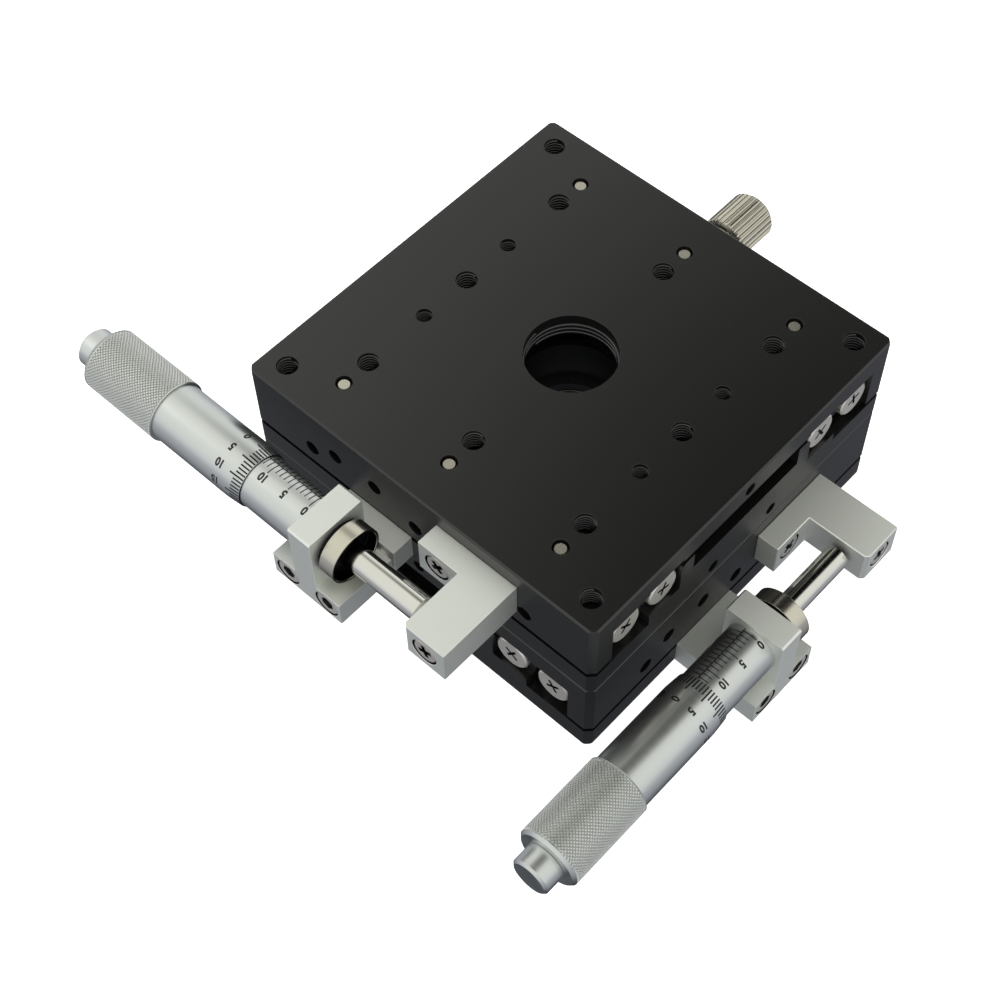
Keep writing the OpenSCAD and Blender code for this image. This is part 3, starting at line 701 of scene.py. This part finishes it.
def tooth():
    """One knurl tooth: a pyramid on a diamond, with a small flat top, at the top of the grip."""
    shape = bmesh.new()
    levels = []
    for radius, share in ((ROOT_R - TOOTH_SUNK, 1.0), (TOOTH_R, TOOTH_TOP)):
        across = radius * math.sin(HALF_TOOTH * share)
        up = radius * math.cos(HALF_TOOTH * share)
        along = TOOTH_L / 2 * share
        ring = [(along, 0, radius), (0, across, up), (-along, 0, radius), (0, -across, up)]
        levels.append([shape.verts.new(Vector(p) * MM) for p in ring])
    shape.faces.new(reversed(levels[0]))
    shape.faces.new(levels[1])
    for i in range(4):
        j = (i + 1) % 4
        shape.faces.new((levels[0][i], levels[0][j], levels[1][j], levels[1][i]))
    bmesh.ops.recalc_face_normals(shape, faces=shape.faces)
    return shape


one_tooth = template("tooth", new_mesh("tooth", tooth()))
print("one tooth has", len(one_tooth.data.polygons), "faces")

# %% [markdown]
# The same row tree is used twice. First it turns one tooth round the axis without moving it,
# which gives a ring. Then it moves the ring back by half a tooth's length and turns it by half a
# tooth's width at each step, so the teeth of one ring stand in the gaps of the last.

# %% Rings of teeth
KNURL_START = GRIP_X - 0.5
KNURL_MARGIN = 0.9
KNURL_ROWS = int((KNURL_START - THIMBLE_END - KNURL_MARGIN) / (TOOTH_L / 2)) + 1


def in_row(item, count, start=0.0, step=0.0, first_turn=0.0, turn=0.0, material=INK):
    """A row of one item, with its start and step in mm."""
    sizes = {"Count": count, "Start": start * MM, "Step": step * MM}
    return grow(row, Item=item, First_turn=first_turn, Turn=turn, Material=material, **sizes)


ring_mesh = in_row(one_tooth, TEETH, turn=2 * HALF_TOOTH, material=KNURLED)
one_ring = template("ring", ring_mesh)
knurl_mesh = in_row(
    one_ring, KNURL_ROWS, KNURL_START, -TOOTH_L / 2, turn=HALF_TOOTH, material=KNURLED
)
forget(one_tooth, one_ring)
for polygon in knurl_mesh.polygons:
    polygon.material_index = 1
print(KNURL_ROWS, "rows of", TEETH, "teeth,", len(knurl_mesh.polygons), "faces")

# %% [markdown]
# Barrel and teeth become one piece, because they turn as one. The barrel has the chrome with
# its turning lines, and the teeth, marked above, have the frosted one.

# %% Thimbles


def joined(meshes):
    """Several meshes as one bmesh."""
    shape = bmesh.new()
    for mesh in meshes:
        shape.from_mesh(mesh)
    return shape


for axis in "xy":
    mesh = new_mesh("thimble", joined([core_mesh, knurl_mesh]))
    mesh.transform(PLACE[axis] @ HEAD_AXIS)
    made = finished(
        axis + "_thimble_knurled",
        mesh,
        axis + "_drum",
        FINISHES[axis]["satin_chrome"],
        [axis + "_thimble"],
        KNURLED,
    )
    print(made.name, len(mesh.polygons), "faces")

# %% [markdown]
# The scales are engraved and filled with black paint. A texture of them would blur, so each
# stroke is a thin sliver of paint that follows the metal, a hundredth of a millimetre proud of
# it. The row tree repeats one stroke along the sleeve or round the bevel.

# %% One stroke of paint
PAINT_OUT = 0.012
PAINT_IN = 0.05


def on_barrel(x, radius, angle):
    """The point at x, a radius and an angle round the head's axis, in metres."""
    return Vector((x, -radius * math.sin(angle), radius * math.cos(angle))) * MM


def stroke_on(radius_at, x0, x1, turn0, turn1, steps):
    """A template of a closed sliver of paint between two places and two angles."""
    shape = bmesh.new()
    rings = []
    for i in range(steps + 1):
        angle = turn0 + (turn1 - turn0) * (i / steps)
        corners = ((x0, PAINT_OUT), (x1, PAINT_OUT), (x1, -PAINT_IN), (x0, -PAINT_IN))
        rings.append(
            [shape.verts.new(on_barrel(x, radius_at(x) + out, angle)) for x, out in corners]
        )
    shape.faces.new(rings[0])
    shape.faces.new(rings[-1])
    for one, two in zip(rings, rings[1:]):
        for i in range(4):
            j = (i + 1) % 4
            shape.faces.new((one[i], one[j], two[j], two[i]))
    bmesh.ops.recalc_face_normals(shape, faces=shape.faces)
    return template("stroke", new_mesh("stroke", shape))


print("paint stands", PAINT_OUT, "mm out of the metal")

# %% [markdown]
# On the sleeve the whole millimetres stand on one side of the reference line and the halves on
# the other, and every fifth stroke is longer. The strokes bend round the sleeve, so each is
# made of a few flat steps.

# %% Strokes on the sleeve
SLEEVE_R = 5.1
SLEEVE_ZERO = -12.2
SLEEVE_MM = 25
LONG_EVERY = 5
SLEEVE_LINE_W = 0.2
# How far round the sleeve a stroke reaches, in radians, and in how many flat steps
MM_STROKE, MM_STEPS = math.radians(22), 6
LONG_STROKE, LONG_STEPS = math.radians(32), 9
HALF_STROKE, HALF_STEPS = math.radians(20), 6
REFERENCE_W = 0.25
REFERENCE_BACK, REFERENCE_AHEAD = 26, 0.6


def sleeve_radius(x):
    """The sleeve's radius at x, the same all along."""
    return SLEEVE_R


def sleeve_strokes(reference):
    """The millimetre strokes outwards, the half millimetres inwards, and the reference line."""
    w = SLEEVE_LINE_W / 2
    turn = REFERENCE_W / 2 / SLEEVE_R
    back, ahead = SLEEVE_ZERO - REFERENCE_BACK, SLEEVE_ZERO + REFERENCE_AHEAD
    short = stroke_on(sleeve_radius, -w, w, 0, MM_STROKE, MM_STEPS)
    long = stroke_on(sleeve_radius, -w, w, 0, LONG_STROKE, LONG_STEPS)
    half = stroke_on(sleeve_radius, -w, w, -HALF_STROKE, 0, HALF_STEPS)
    line = stroke_on(sleeve_radius, back, ahead, -turn, turn, 1)
    meshes = [
        in_row(short, SLEEVE_MM + 1, SLEEVE_ZERO, -1, reference),
        in_row(long, SLEEVE_MM // LONG_EVERY + 1, SLEEVE_ZERO, -LONG_EVERY, reference),
        in_row(half, SLEEVE_MM, SLEEVE_ZERO - 0.5, -1, reference),
        in_row(line, 1, first_turn=reference),
    ]
    forget(short, long, half, line)
    return meshes


print(SLEEVE_MM, "mm on each sleeve")

# %% [markdown]
# The thimble has fifty strokes on its bevel, one for each hundredth of a millimetre that it
# advances by, and again every fifth is longer. The bevel is a cone, so a stroke asks for the
# radius at each of its ends.

# %% Strokes on the thimble
BEVEL_LINE_W = 0.3
BEVEL_IN = 0.06
BEVEL_SHORT, BEVEL_LONG = 2.0, 3.0
DIVISIONS = 50
DIVISION = 2 * math.pi / DIVISIONS


def bevel_radius(x):
    """The thimble's outer radius at x, in mm."""
    share = (EDGE_X - x) / (EDGE_X - BEVEL_END)
    return BEVEL_R + (BARREL_R - BEVEL_R) * min(max(share, 0), 1)


def thimble_strokes(reference):
    """Fifty strokes round the bevel, every fifth one longer."""
    w = BEVEL_LINE_W / 2 / BEVEL_R
    x0 = EDGE_X - BEVEL_IN
    short = stroke_on(bevel_radius, x0 - BEVEL_SHORT, x0, -w, w, 1)
    long = stroke_on(bevel_radius, x0 - BEVEL_LONG, x0, -w, w, 1)
    meshes = [
        in_row(short, DIVISIONS, first_turn=reference, turn=DIVISION),
        in_row(long, DIVISIONS // LONG_EVERY, first_turn=reference, turn=LONG_EVERY * DIVISION),
    ]
    forget(short, long)
    return meshes


print(DIVISIONS, "divisions on each thimble")

# %% [markdown]
# The numerals are Blender's own text, made a mesh before anything else. A letter laid on a
# cylinder has to bend with it, so it is first sliced into strips two tenths of a millimetre
# high. Each point is then wrapped round the axis, and the letter gets a little thickness.

# %% Numerals
NUMERAL_H = 1.7
NARROW = 0.82
STRIP = 0.2
BOLD = 0.048
BACK_Z = -1


def numeral(text, radius, x_centre, turn_centre):
    """A number in paint on a cylinder, read from the holder towards the cap."""
    curve = bpy.data.curves.new("numeral", "FONT")
    curve.body = text
    curve.align_x = "CENTER"
    curve.offset = BOLD
    letter = bpy.data.objects.new("numeral", curve)
    scene.collection.objects.link(letter)
    graph = bpy.context.evaluated_depsgraph_get()
    flat = bpy.data.meshes.new_from_object(letter.evaluated_get(graph))
    bpy.data.objects.remove(letter)
    shape = bmesh.new()
    shape.from_mesh(flat)
    low = min(v.co.y for v in shape.verts)
    scale = NUMERAL_H / (max(v.co.y for v in shape.verts) - low)
    for v in shape.verts:
        v.co = Vector((v.co.x * scale * NARROW, (v.co.y - low) * scale - NUMERAL_H / 2, 0))
    cut = STRIP - NUMERAL_H / 2
    while cut < NUMERAL_H / 2:
        everything = shape.verts[:] + shape.edges[:] + shape.faces[:]
        bmesh.ops.bisect_plane(shape, geom=everything, plane_co=(0, cut, 0), plane_no=(0, 1, 0))
        cut += STRIP
    bmesh.ops.remove_doubles(shape, verts=shape.verts, dist=WELD_MM)
    deep = bmesh.ops.extrude_face_region(shape, geom=shape.faces[:])["geom"]
    for v in deep:
        if isinstance(v, bmesh.types.BMVert):
            v.co.z = BACK_Z
    for v in shape.verts:
        out = PAINT_OUT if v.co.z > BACK_Z / 2 else -PAINT_IN
        v.co = on_barrel(x_centre - v.co.x, radius + out, turn_centre + v.co.y / radius)
    bmesh.ops.recalc_face_normals(shape, faces=shape.faces)
    return new_mesh("numeral", shape)


print("numerals", NUMERAL_H, "mm high, bent in strips of", STRIP, "mm")

# %% [markdown]
# The sleeve's marks stay with the slide's lower part and the thimble's marks turn with it, so
# they are two pieces. Numbers stand at every fifth stroke: 0 to 25 along the sleeve, past the
# ends of the strokes, and 0 to 45 round the barrel behind the bevel.

# %% Marks on sleeves and thimbles
# How far round from the top each sleeve's reference line lies
REFERENCE = {"x": math.radians(-29.5), "y": math.radians(-17)}
SLEEVE_NUMERAL_TURN = math.radians(44.5)
THIMBLE_NUMERAL_X = -30.3
for axis in "xy":
    zero = REFERENCE[axis]
    marks = {
        "sleeve": sleeve_strokes(zero)
        + [
            numeral(str(n), SLEEVE_R, SLEEVE_ZERO - n, zero + SLEEVE_NUMERAL_TURN)
            for n in range(0, SLEEVE_MM + 1, LONG_EVERY)
        ],
        "thimble": thimble_strokes(zero)
        + [
            numeral(str(n), BARREL_R, THIMBLE_NUMERAL_X, zero + 2 * math.pi * n / DIVISIONS)
            for n in range(0, DIVISIONS, LONG_EVERY)
        ],
    }
    for name, body in (("sleeve", CARRIER[axis]), ("thimble", axis + "_drum")):
        mesh = new_mesh("marks", joined(marks[name]))
        mesh.transform(PLACE[axis] @ HEAD_AXIS)
        made = finished(f"{axis}_{name}_marks", mesh, body, INK)
        print(made.name, len(mesh.polygons), "faces")

# %% [markdown]
# The second tree puts an item on each point of a host mesh, turned as the point's own "turn"
# attribute says. Screws and the threads inside tapped holes are placed by it, because they
# stand at odd places and face different ways.

# %% The scatter tree
scatter, given, result = new_tree(
    "scatter", {"Places": "Geometry", "Item": "Object", "Material": "Material"}
)
attribute = add(
    scatter, "GeometryNodeInputNamedAttribute", {"Name": "turn"}, data_type="FLOAT_VECTOR"
)
end_with_copies(scatter, given, result, given["Places"], attribute.outputs[0])


def placed(item_object, material, places):
    """Copies of an item at places, each a point in mm, the way its +Z faces, and its own spin."""
    host = bpy.data.meshes.new("places")
    host.from_pydata([Vector(point) * MM for point, _, _ in places], [], [])
    turns = host.attributes.new("turn", "FLOAT_VECTOR", "POINT")
    for i, (_, facing, spin) in enumerate(places):
        way = Vector(facing).to_track_quat("Z", "Y").to_matrix()
        turns.data[i].vector = (way @ Matrix.Rotation(math.radians(spin), 3, "Z")).to_euler()
    return grow(scatter, host, Item=item_object, Material=material)


# %% [markdown]
# A screw head's recess could be cut out, but cutting leaves ragged faces. In the turned shape it
# is a ring whose radius depends on the angle: for a cross, the outer bound of two crossed bars,
# and for a socket, a hexagon.

# %% Outlines of recesses
NEVER_ZERO = 1e-6


def cross(length, width):
    """The outline of a cross with arms of that half length and half width, as a radius."""

    def radius(angle):
        c, s = abs(math.cos(angle)) + NEVER_ZERO, abs(math.sin(angle)) + NEVER_ZERO
        return max(min(length / c, width / s), min(length / s, width / c))

    return radius


def hexagon(flats):
    """The outline of a hexagon with that width across its flats, as a radius."""
    return lambda angle: flats / 2 / math.cos(angle % math.radians(60) - math.radians(30))


print("a 2.5 mm hexagon is", round(2 * hexagon(2.5)(0), 2), "mm wide over its corners")

# %% [markdown]
# A screw is turned from its tip to the floor of its recess. The floor's outline is smaller than
# the one in the head's face, which gives the tapered walls that a driver needs. The recess's
# faces are marked for a black finish, which is painted shade: the dark that falls deep in a
# recess.

# %% Screws with recesses
SCREW_SIDES = 80
SCREW_TIP = 0.3
TAPER = 0.65
# Faces belong to the recess from just below the head's face to just past the recess's floor
BELOW_FACE, PAST_FLOOR = 0.02, 0.1


def screw(head_r, head_h, shank_r, shank_l, recess, depth, rim):
    """A screw round Z: its head stands on z 0 and its shank hangs below, in mm. The faces of its
    recess, which has the given outline, are marked for a black finish that paints the shade in
    it."""
    profile = [
        (-shank_l, shank_r - SCREW_TIP),
        (-shank_l + SCREW_TIP, shank_r),
        (0, shank_r),
        (0, head_r),
        (head_h - rim, head_r),
        (head_h, head_r - rim),
        (head_h, recess),
        (head_h - depth, lambda angle: recess(angle) * TAPER),
    ]
    shape = turned(profile, count=SCREW_SIDES, along="Z")
    painted_shade_mark = shape.faces.layers.int.new("recess")
    for face in shape.faces:
        at = face.calc_center_median() / MM
        sunk = BELOW_FACE < head_h - at.z < depth + PAST_FLOOR
        face[painted_shade_mark] = int(sunk and math.hypot(at.x, at.y) < head_r - rim)
    return template("screw", new_mesh("screw", shape))


def screws(item, places):
    """Screws at places, with their recesses marked for the second finish."""
    mesh = placed(item, PLATED, places)
    # Marked recess faces get the black second finish, which paints their shade
    for face, painted_shade_mark in zip(mesh.polygons, mesh.attributes["recess"].data):
        face.material_index = painted_shade_mark.value
    return mesh


print("a screw's recess narrows to", TAPER, "of its width at the floor")

# %% [markdown]
# Each rail ends in a flat round head that stops the roller cage. Nobody lines such screws up,
# so each cross is turned its own way.

# %% Stop screws
RAIL_END = 37.5
RAIL_Z = 11
RAIL_MID = {"outer": 31.05, "inner": 21.45}
STOP_SPINS = {"outer": (12, 51, 77, 33), "inner": (32, 71, 97, 53)}
CORNERS = ((1, 1), (1, -1), (-1, 1), (-1, -1))
stop_screw = screw(
    head_r=3.5, head_h=1.9, shank_r=1.5, shank_l=4.0, recess=cross(1.6, 0.3), depth=0.8, rim=0.3
)
for axis in "xy":
    for rails, mid in RAIL_MID.items():
        places = [
            ((sx * RAIL_END, sy * mid, RAIL_Z), (sx, 0, 0), spin)
            for (sx, sy), spin in zip(CORNERS, STOP_SPINS[rails])
        ]
        node = f"{axis}_{rails}_stop_screws"
        mesh = screws(stop_screw, places)
        mesh.transform(PLACE[axis])
        # The crosses get the black second finish as painted shade
        made = finished(
            node + "_crossed", mesh, BODY_OF[node], PLATED, [node], BLACK_OXIDE_AND_SHADE
        )
        print(made.name, len(mesh.polygons), "faces")
forget(stop_screw)

# %% [markdown]
# The bracket and the holder are held by cap screws of different lengths, sunk in counterbores
# almost to the face. Their deep recesses and the gaps round their heads are what shows black, and
# both are given a black finish as painted shade.

# %% Bracket and holder screws
BRACKET_CAP = {"head_r": 2.5, "head_h": 2.45, "shank_r": 1.47, "depth": 1.5, "rim": 0.25}
BRACKET_CAP["recess"] = cross(1.45, 0.45)
HOLDER_CAP = {"head_r": 2.55, "head_h": 2.2, "shank_r": 1.5, "depth": 1.4, "rim": 0.2}
HOLDER_CAP["recess"] = hexagon(2.5)
# The kind of screw, its seats, and for each seat the shank's length and the head's spin
CAPS = {
    "anvil_screws": (BRACKET_CAP, BRACKET_SEATS, ((19.0, 20), (6.1, 40))),
    "holder_screws": (HOLDER_CAP, HOLDER_SEATS, ((21.8, 15), (21.8, 35))),
}
for axis in "xy":
    for part, (sizes, seats, fits) in CAPS.items():
        node = f"{axis}_{part}"
        meshes = []
        for seat, (shank_l, spin) in zip(seats, fits):
            cap = screw(shank_l=shank_l, **sizes)
            meshes.append(screws(cap, [(seat, (0, -1, 0), spin)]))
            forget(cap)
        mesh = new_mesh("cap_screws", joined(meshes))
        mesh.transform(PLACE[axis])
        made = finished(
            node + "_capped", mesh, BODY_OF[node], PLATED, [node], BLACK_OXIDE_AND_SHADE
        )
        print(made.name, len(mesh.polygons), "faces")

# %% [markdown]
# A tapped hole looks dark, with a few bright glints where the thread's crests catch the light.
# The thread is a ridge on a spiral: the tree winds a spiral and sweeps a small ring along it,
# so that half of it stands out of the hole's wall as a rounded crest.

# %% The thread tree
SECTION_SIDES = 8


def swept(tree, curve, radius):
    """A round rod of that radius along a curve."""
    circle = {"Resolution": SECTION_SIDES, "Radius": radius}
    section = add(tree, "GeometryNodeCurvePrimitiveCircle", circle).outputs[0]
    inputs = {"Curve": curve, "Profile Curve": section, "Fill Caps": True}
    return add(tree, "GeometryNodeCurveToMesh", inputs).outputs[0]


thread, given, result = new_tree(
    "thread",
    {
        "Radius": "Float",
        "Pitch": "Float",
        "Turns": "Float",
        "Ridge": "Float",
        "Segments": "Int",
        "Material": "Material",
    },
)
spiral = add(
    thread,
    "GeometryNodeCurveSpiral",
    {
        "Resolution": given["Segments"],
        "Rotations": given["Turns"],
        "Start Radius": given["Radius"],
        "End Radius": given["Radius"],
        "Height": worked_out(thread, "MULTIPLY", given["Pitch"], given["Turns"]),
    },
)
upright = add(thread, "GeometryNodeSetCurveNormal", {"Curve": spiral.outputs[0]}, mode="Z_UP")
end_tree(thread, swept(thread, upright.outputs[0], given["Ridge"]), given["Material"], result)

# %% [markdown]
# The tables' M4 and M3 holes and the centre opening get their threads here. The holes of one
# kind are placed in groups, each turned its own way, because no two taps start alike. The
# lower table's corner holes are left out: the screws that join the two slides fill them.

# %% Threads in the tables
# Radius, pitch, turns, and straight pieces in a turn
THREADS = {"M4": (2.0, 0.7, 5.4, 16), "M3": (1.5, 0.5, 8.0, 16), "centre": (8.5, 1.0, 3.0, 64)}
# Where each kind of thread starts, up from the bottom of its slide
THREAD_Z = {"M4": 15.6, "M3": 15.5, "centre": 15.3}
RIDGE = 0.34
CREST_ANGLE = math.radians(60)
# Half of the pitches at which the holes stand, and how far round each group's threads start
MIDDLE, CORNER, NARROW_ROW = 25, 35, 11
SPINS = {"square": 0, "circle": 40, "corner": 80}
UP = (0, 0, 1)


def holes(kind, points, spin=0):
    """Places for threads of one kind at points on the table."""
    return [((x, y, THREAD_Z[kind]), UP, spin) for x, y in points]


SQUARE = [(MIDDLE * x, MIDDLE * y) for x, y in CORNERS]
CIRCLE = [(MIDDLE, 0), (-MIDDLE, 0), (0, MIDDLE), (0, -MIDDLE)]
TABLE_CORNERS = [(x, y) for x in (-CORNER, CORNER) for y in (-CORNER, CORNER)]
PAIRS = [(x, y) for x in (-MIDDLE, MIDDLE) for y in (-NARROW_ROW, NARROW_ROW)]
for axis in "xy":
    places = {
        "M4": holes("M4", SQUARE, SPINS["square"]) + holes("M4", CIRCLE, SPINS["circle"]),
        "M3": holes("M3", PAIRS),
        "centre": holes("centre", [(0, 0)]),
    }
    if axis == "x":
        places["M4"] += holes("M4", TABLE_CORNERS, SPINS["corner"])
    grown = []
    for kind, (radius, pitch, turns, segments) in THREADS.items():
        sizes = {"Radius": radius * MM, "Pitch": pitch * MM, "Ridge": RIDGE * pitch * MM}
        wound = grow(thread, Turns=turns, Segments=segments, Material=CUT_BLACK, **sizes)
        pattern = template(kind, wound)
        grown.append(placed(pattern, CUT_BLACK, places[kind]))
        forget(pattern)
    mesh = new_mesh("threads", joined(grown), CREST_ANGLE)
    mesh.transform(PLACE[axis])
    made = finished(axis + "_table_threads", mesh, MOVER[axis], CUT_BLACK)
    print(made.name, len(mesh.polygons), "faces")

# %% [markdown]
# A spring holds each bracket against its spindle. It is a real coil here, with an eye at each
# end. Blender's spiral stands upright and a spring lies along X, so the tree needs two helpers
# of its own: one that winds a spiral and one that lays it down and moves it.

# %% Opening the coil tree
coil, given, result = new_tree(
    "coil",
    {
        "Turns": "Float",
        "Radius": "Float",
        "Length": "Float",
        "Lead": "Float",
        "Wire": "Float",
        "Eye": "Float",
        "Material": "Material",
    },
)


def moved(geometry, to=None, turn=None):
    """The coil tree's geometry, turned and then moved."""
    inputs = {"Geometry": geometry}
    if to is not None:
        inputs["Translation"] = to
    if turn:
        inputs["Rotation"] = turn
    return add(coil, "GeometryNodeTransform", inputs).outputs[0]


def wound_up(steps, turns, end_radius, height):
    """A spiral that starts at the coil's radius and stands upright."""
    inputs = {"Resolution": steps, "Rotations": turns, "Height": height}
    inputs |= {"Start Radius": given["Radius"], "End Radius": end_radius}
    return add(coil, "GeometryNodeCurveSpiral", inputs).outputs[0]


print("the coil tree takes", len(given) - 1, "inputs")

# %% [markdown]
# The tree winds the middle, then leads the wire in to the axis at both ends on a shrinking
# spiral, and sets a ring against each: five curves that are joined and swept with one section.

# %% The coil's curves
COIL_STEPS = 20
EYE_STEPS = 24
LEAD_TURNS = 0.75
LEAD_TIP = 0.05
QUARTER = math.radians(90)
HALF = 2 * QUARTER

# Between the two leads
between = worked_out(coil, "MULTIPLY_ADD", given["Lead"], -2.0, given["Length"])
windings = wound_up(COIL_STEPS, given["Turns"], given["Radius"], between)
lead = moved(
    wound_up(EYE_STEPS, LEAD_TURNS, LEAD_TIP * MM, given["Lead"]), turn=(0, QUARTER, 0)
)
near = along_x(coil, given["Lead"])
far = along_x(coil, worked_out(coil, "SUBTRACT", given["Length"], given["Lead"]))
eye_near = along_x(coil, worked_out(coil, "MULTIPLY", given["Eye"], -1.0))
eye_far = along_x(coil, worked_out(coil, "ADD", given["Eye"], given["Length"]))
circle = {"Resolution": EYE_STEPS, "Radius": given["Eye"]}
eye = add(coil, "GeometryNodeCurvePrimitiveCircle", circle).outputs[0]
paths = add(coil, "GeometryNodeJoinGeometry")
for curve in (
    moved(windings, near, (0, QUARTER, 0)),
    moved(lead, far),
    moved(lead, near, (0, 0, HALF)),
    moved(eye, eye_near),
    moved(eye, eye_far),
):
    coil.links.new(curve, paths.inputs[0])
end_tree(coil, swept(coil, paths.outputs[0], given["Wire"]), given["Material"], result)

# %% [markdown]
# As the table slides, one end of the spring stays with the lower post and the other goes with the
# upper one. So the piece rides on no single body: here it is given none, and its place is baked
# into its mesh.

# %% Return springs
SPRING_AT = Matrix.Translation(Vector((-28.9, 13.5, 11.5)) * MM)
SPRING_TURNS = 36.0
SPRING_SIZES = {"Length": 37.8, "Radius": 1.35, "Lead": 0.8, "Wire": 0.24, "Eye": 1.1}
for axis in "xy":
    sizes = {name: size * MM for name, size in SPRING_SIZES.items()}
    mesh = grow(coil, Turns=SPRING_TURNS, Material=WIRE, **sizes)
    mesh.shade_smooth()
    place = PLACE[axis] @ SPRING_AT
    mesh.transform(place)
    node = axis + "_return_spring"
    spring = finished(node + "_coil", mesh, None, WIRE, [node])
    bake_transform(spring)
    print(spring.name, len(mesh.polygons), "faces")

# %% [markdown]
# The CAD nodes that still show get their finish in their own material slots. All of them are
# replaced by now, so this short loop mostly proves that no piece was forgotten.

# %% Solids that show as they are
for node, solid in frame["nodes"].items():
    # A node that belongs to one slide starts with that slide's letter
    axis = node[0] if node[1] == "_" else "x"
    solid.data.materials.clear()
    solid.data.materials.append(FINISHES[axis][SLOT_OF[node]])
    if not solid.hide_render:
        print("shown as it is:", node)
print(sum(solid.hide_render for solid in frame["nodes"].values()), "solids are replaced")

# %% [markdown]
# The stage stands on a plain white floor. The floor is far larger than the picture, so its
# edge never shows, and it gives off a little light of its own, as a photographer's light table
# does. It is left out of mirror reflections, because the black sides of the real stage plainly
# mirror something darker than the white round them: a white floor would turn them grey.

# %% Floor
FLOOR_HALF = 3.0
FLOOR_GAP = 0.02
FLOOR_ROUGH = 0.9
FLOOR_GLOW = 0.9
shape = bmesh.new()
bmesh.ops.create_grid(shape, x_segments=1, y_segments=1, size=FLOOR_HALF)
floor = bpy.data.objects.new("floor", new_mesh("floor", shape))
floor.data.transform(Matrix.Translation((0, 0, -FLOOR_GAP * MM)))
floor.visible_glossy = False
scene.collection.objects.link(floor)
pale = bpy.data.materials.new("pale_floor")
pale.use_nodes = True
pale_shader = pale.node_tree.nodes["Principled BSDF"]
pale_shader.inputs["Base Color"].default_value = linear("#f4f4f4")
pale_shader.inputs["Roughness"].default_value = FLOOR_ROUGH
pale_shader.inputs["Emission Color"].default_value = linear("#ffffff")
pale_shader.inputs["Emission Strength"].default_value = FLOOR_GLOW
floor.data.materials.append(pale)
print("floor", 2 * FLOOR_HALF, "m wide")

# %% [markdown]
# Shiny metal is mostly a picture of the room. Reading the photograph backwards, from each
# brightness to the direction that a mirror there would see, gives a simple room: a soft white
# dome, darker below the horizon, and a dark patch high up behind the stage. That patch is why
# the black top fades from left to right while the rounded heads still shine.

# %% The room
# The dome's colour from straight down, -1, to straight up, 1
DOME = [
    (-1.0, "#34363c"),
    (-0.87, "#46484e"),
    (-0.76, "#80828a"),
    (-0.5, "#a6a8ae"),
    (-0.2, "#b4b6bc"),
    (-0.05, "#dcdee2"),
    (0.3, "#f0f1ee"),
    (1.0, "#f2f3ec"),
]
DOME_STRENGTH = 1.22
DARK_PATCH = (-0.05, 0.49, 0.87)
DARK_COLOUR = "#0a0a0a"
PATCH_EDGE = math.cos(math.radians(29))
PATCH_CORE = math.cos(math.radians(13))

world = bpy.data.worlds.new("studio")
world.use_nodes = True
room = world.node_tree
way = add(room, "ShaderNodeTexCoord").outputs["Generated"]
upwards = add(room, "ShaderNodeSeparateXYZ", {0: way}).outputs["Z"]
height = add(room, "ShaderNodeMapRange", {"Value": upwards, "From Min": -1.0, "From Max": 1.0})
dome = add(room, "ShaderNodeValToRGB", {0: height.outputs[0]})
while len(dome.color_ramp.elements) < len(DOME):
    dome.color_ramp.elements.new(0.5)
for stop, (z, code) in zip(dome.color_ramp.elements, DOME):
    stop.position, stop.color = (z + 1) / 2, linear(code)
toward = add(room, "ShaderNodeVectorMath", {0: way, 1: DARK_PATCH}, operation="DOT_PRODUCT")
near_patch = {"Value": toward.outputs["Value"], "From Min": PATCH_EDGE, "From Max": PATCH_CORE}
patch = add(room, "ShaderNodeMapRange", near_patch, interpolation_type="SMOOTHSTEP")
sky = mixed(room, patch.outputs[0], dome.outputs[0], linear(DARK_COLOUR))
background = room.nodes["Background"]
room.links.new(sky, background.inputs["Color"])
background.inputs["Strength"].default_value = DOME_STRENGTH
scene.world = world
scene.view_settings.view_transform = "Standard"
print("room with", len(DOME), "stops and one dark patch")

# %% [markdown]
# The dome alone lights all sides much alike. One weak, soft lamp on the left, seen from the
# camera, lifts the faces that look its way a little, as a window beside a bench would.

# %% Lamp
LAMP_AT = Vector((-1.1, -0.5, 0.9))
LAMP_WATTS = 0.8
LAMP_SIZE = 0.7
lamp_data = bpy.data.lights.new("left_lamp", "AREA")
lamp_data.energy, lamp_data.size = LAMP_WATTS, LAMP_SIZE
lamp = bpy.data.objects.new("left_lamp", lamp_data)
lamp.location = LAMP_AT
lamp.rotation_euler = (-LAMP_AT).to_track_quat("-Z", "Y").to_euler()
scene.collection.objects.link(lamp)
print("lamp", round(LAMP_AT.length, 2), "m from the stage")
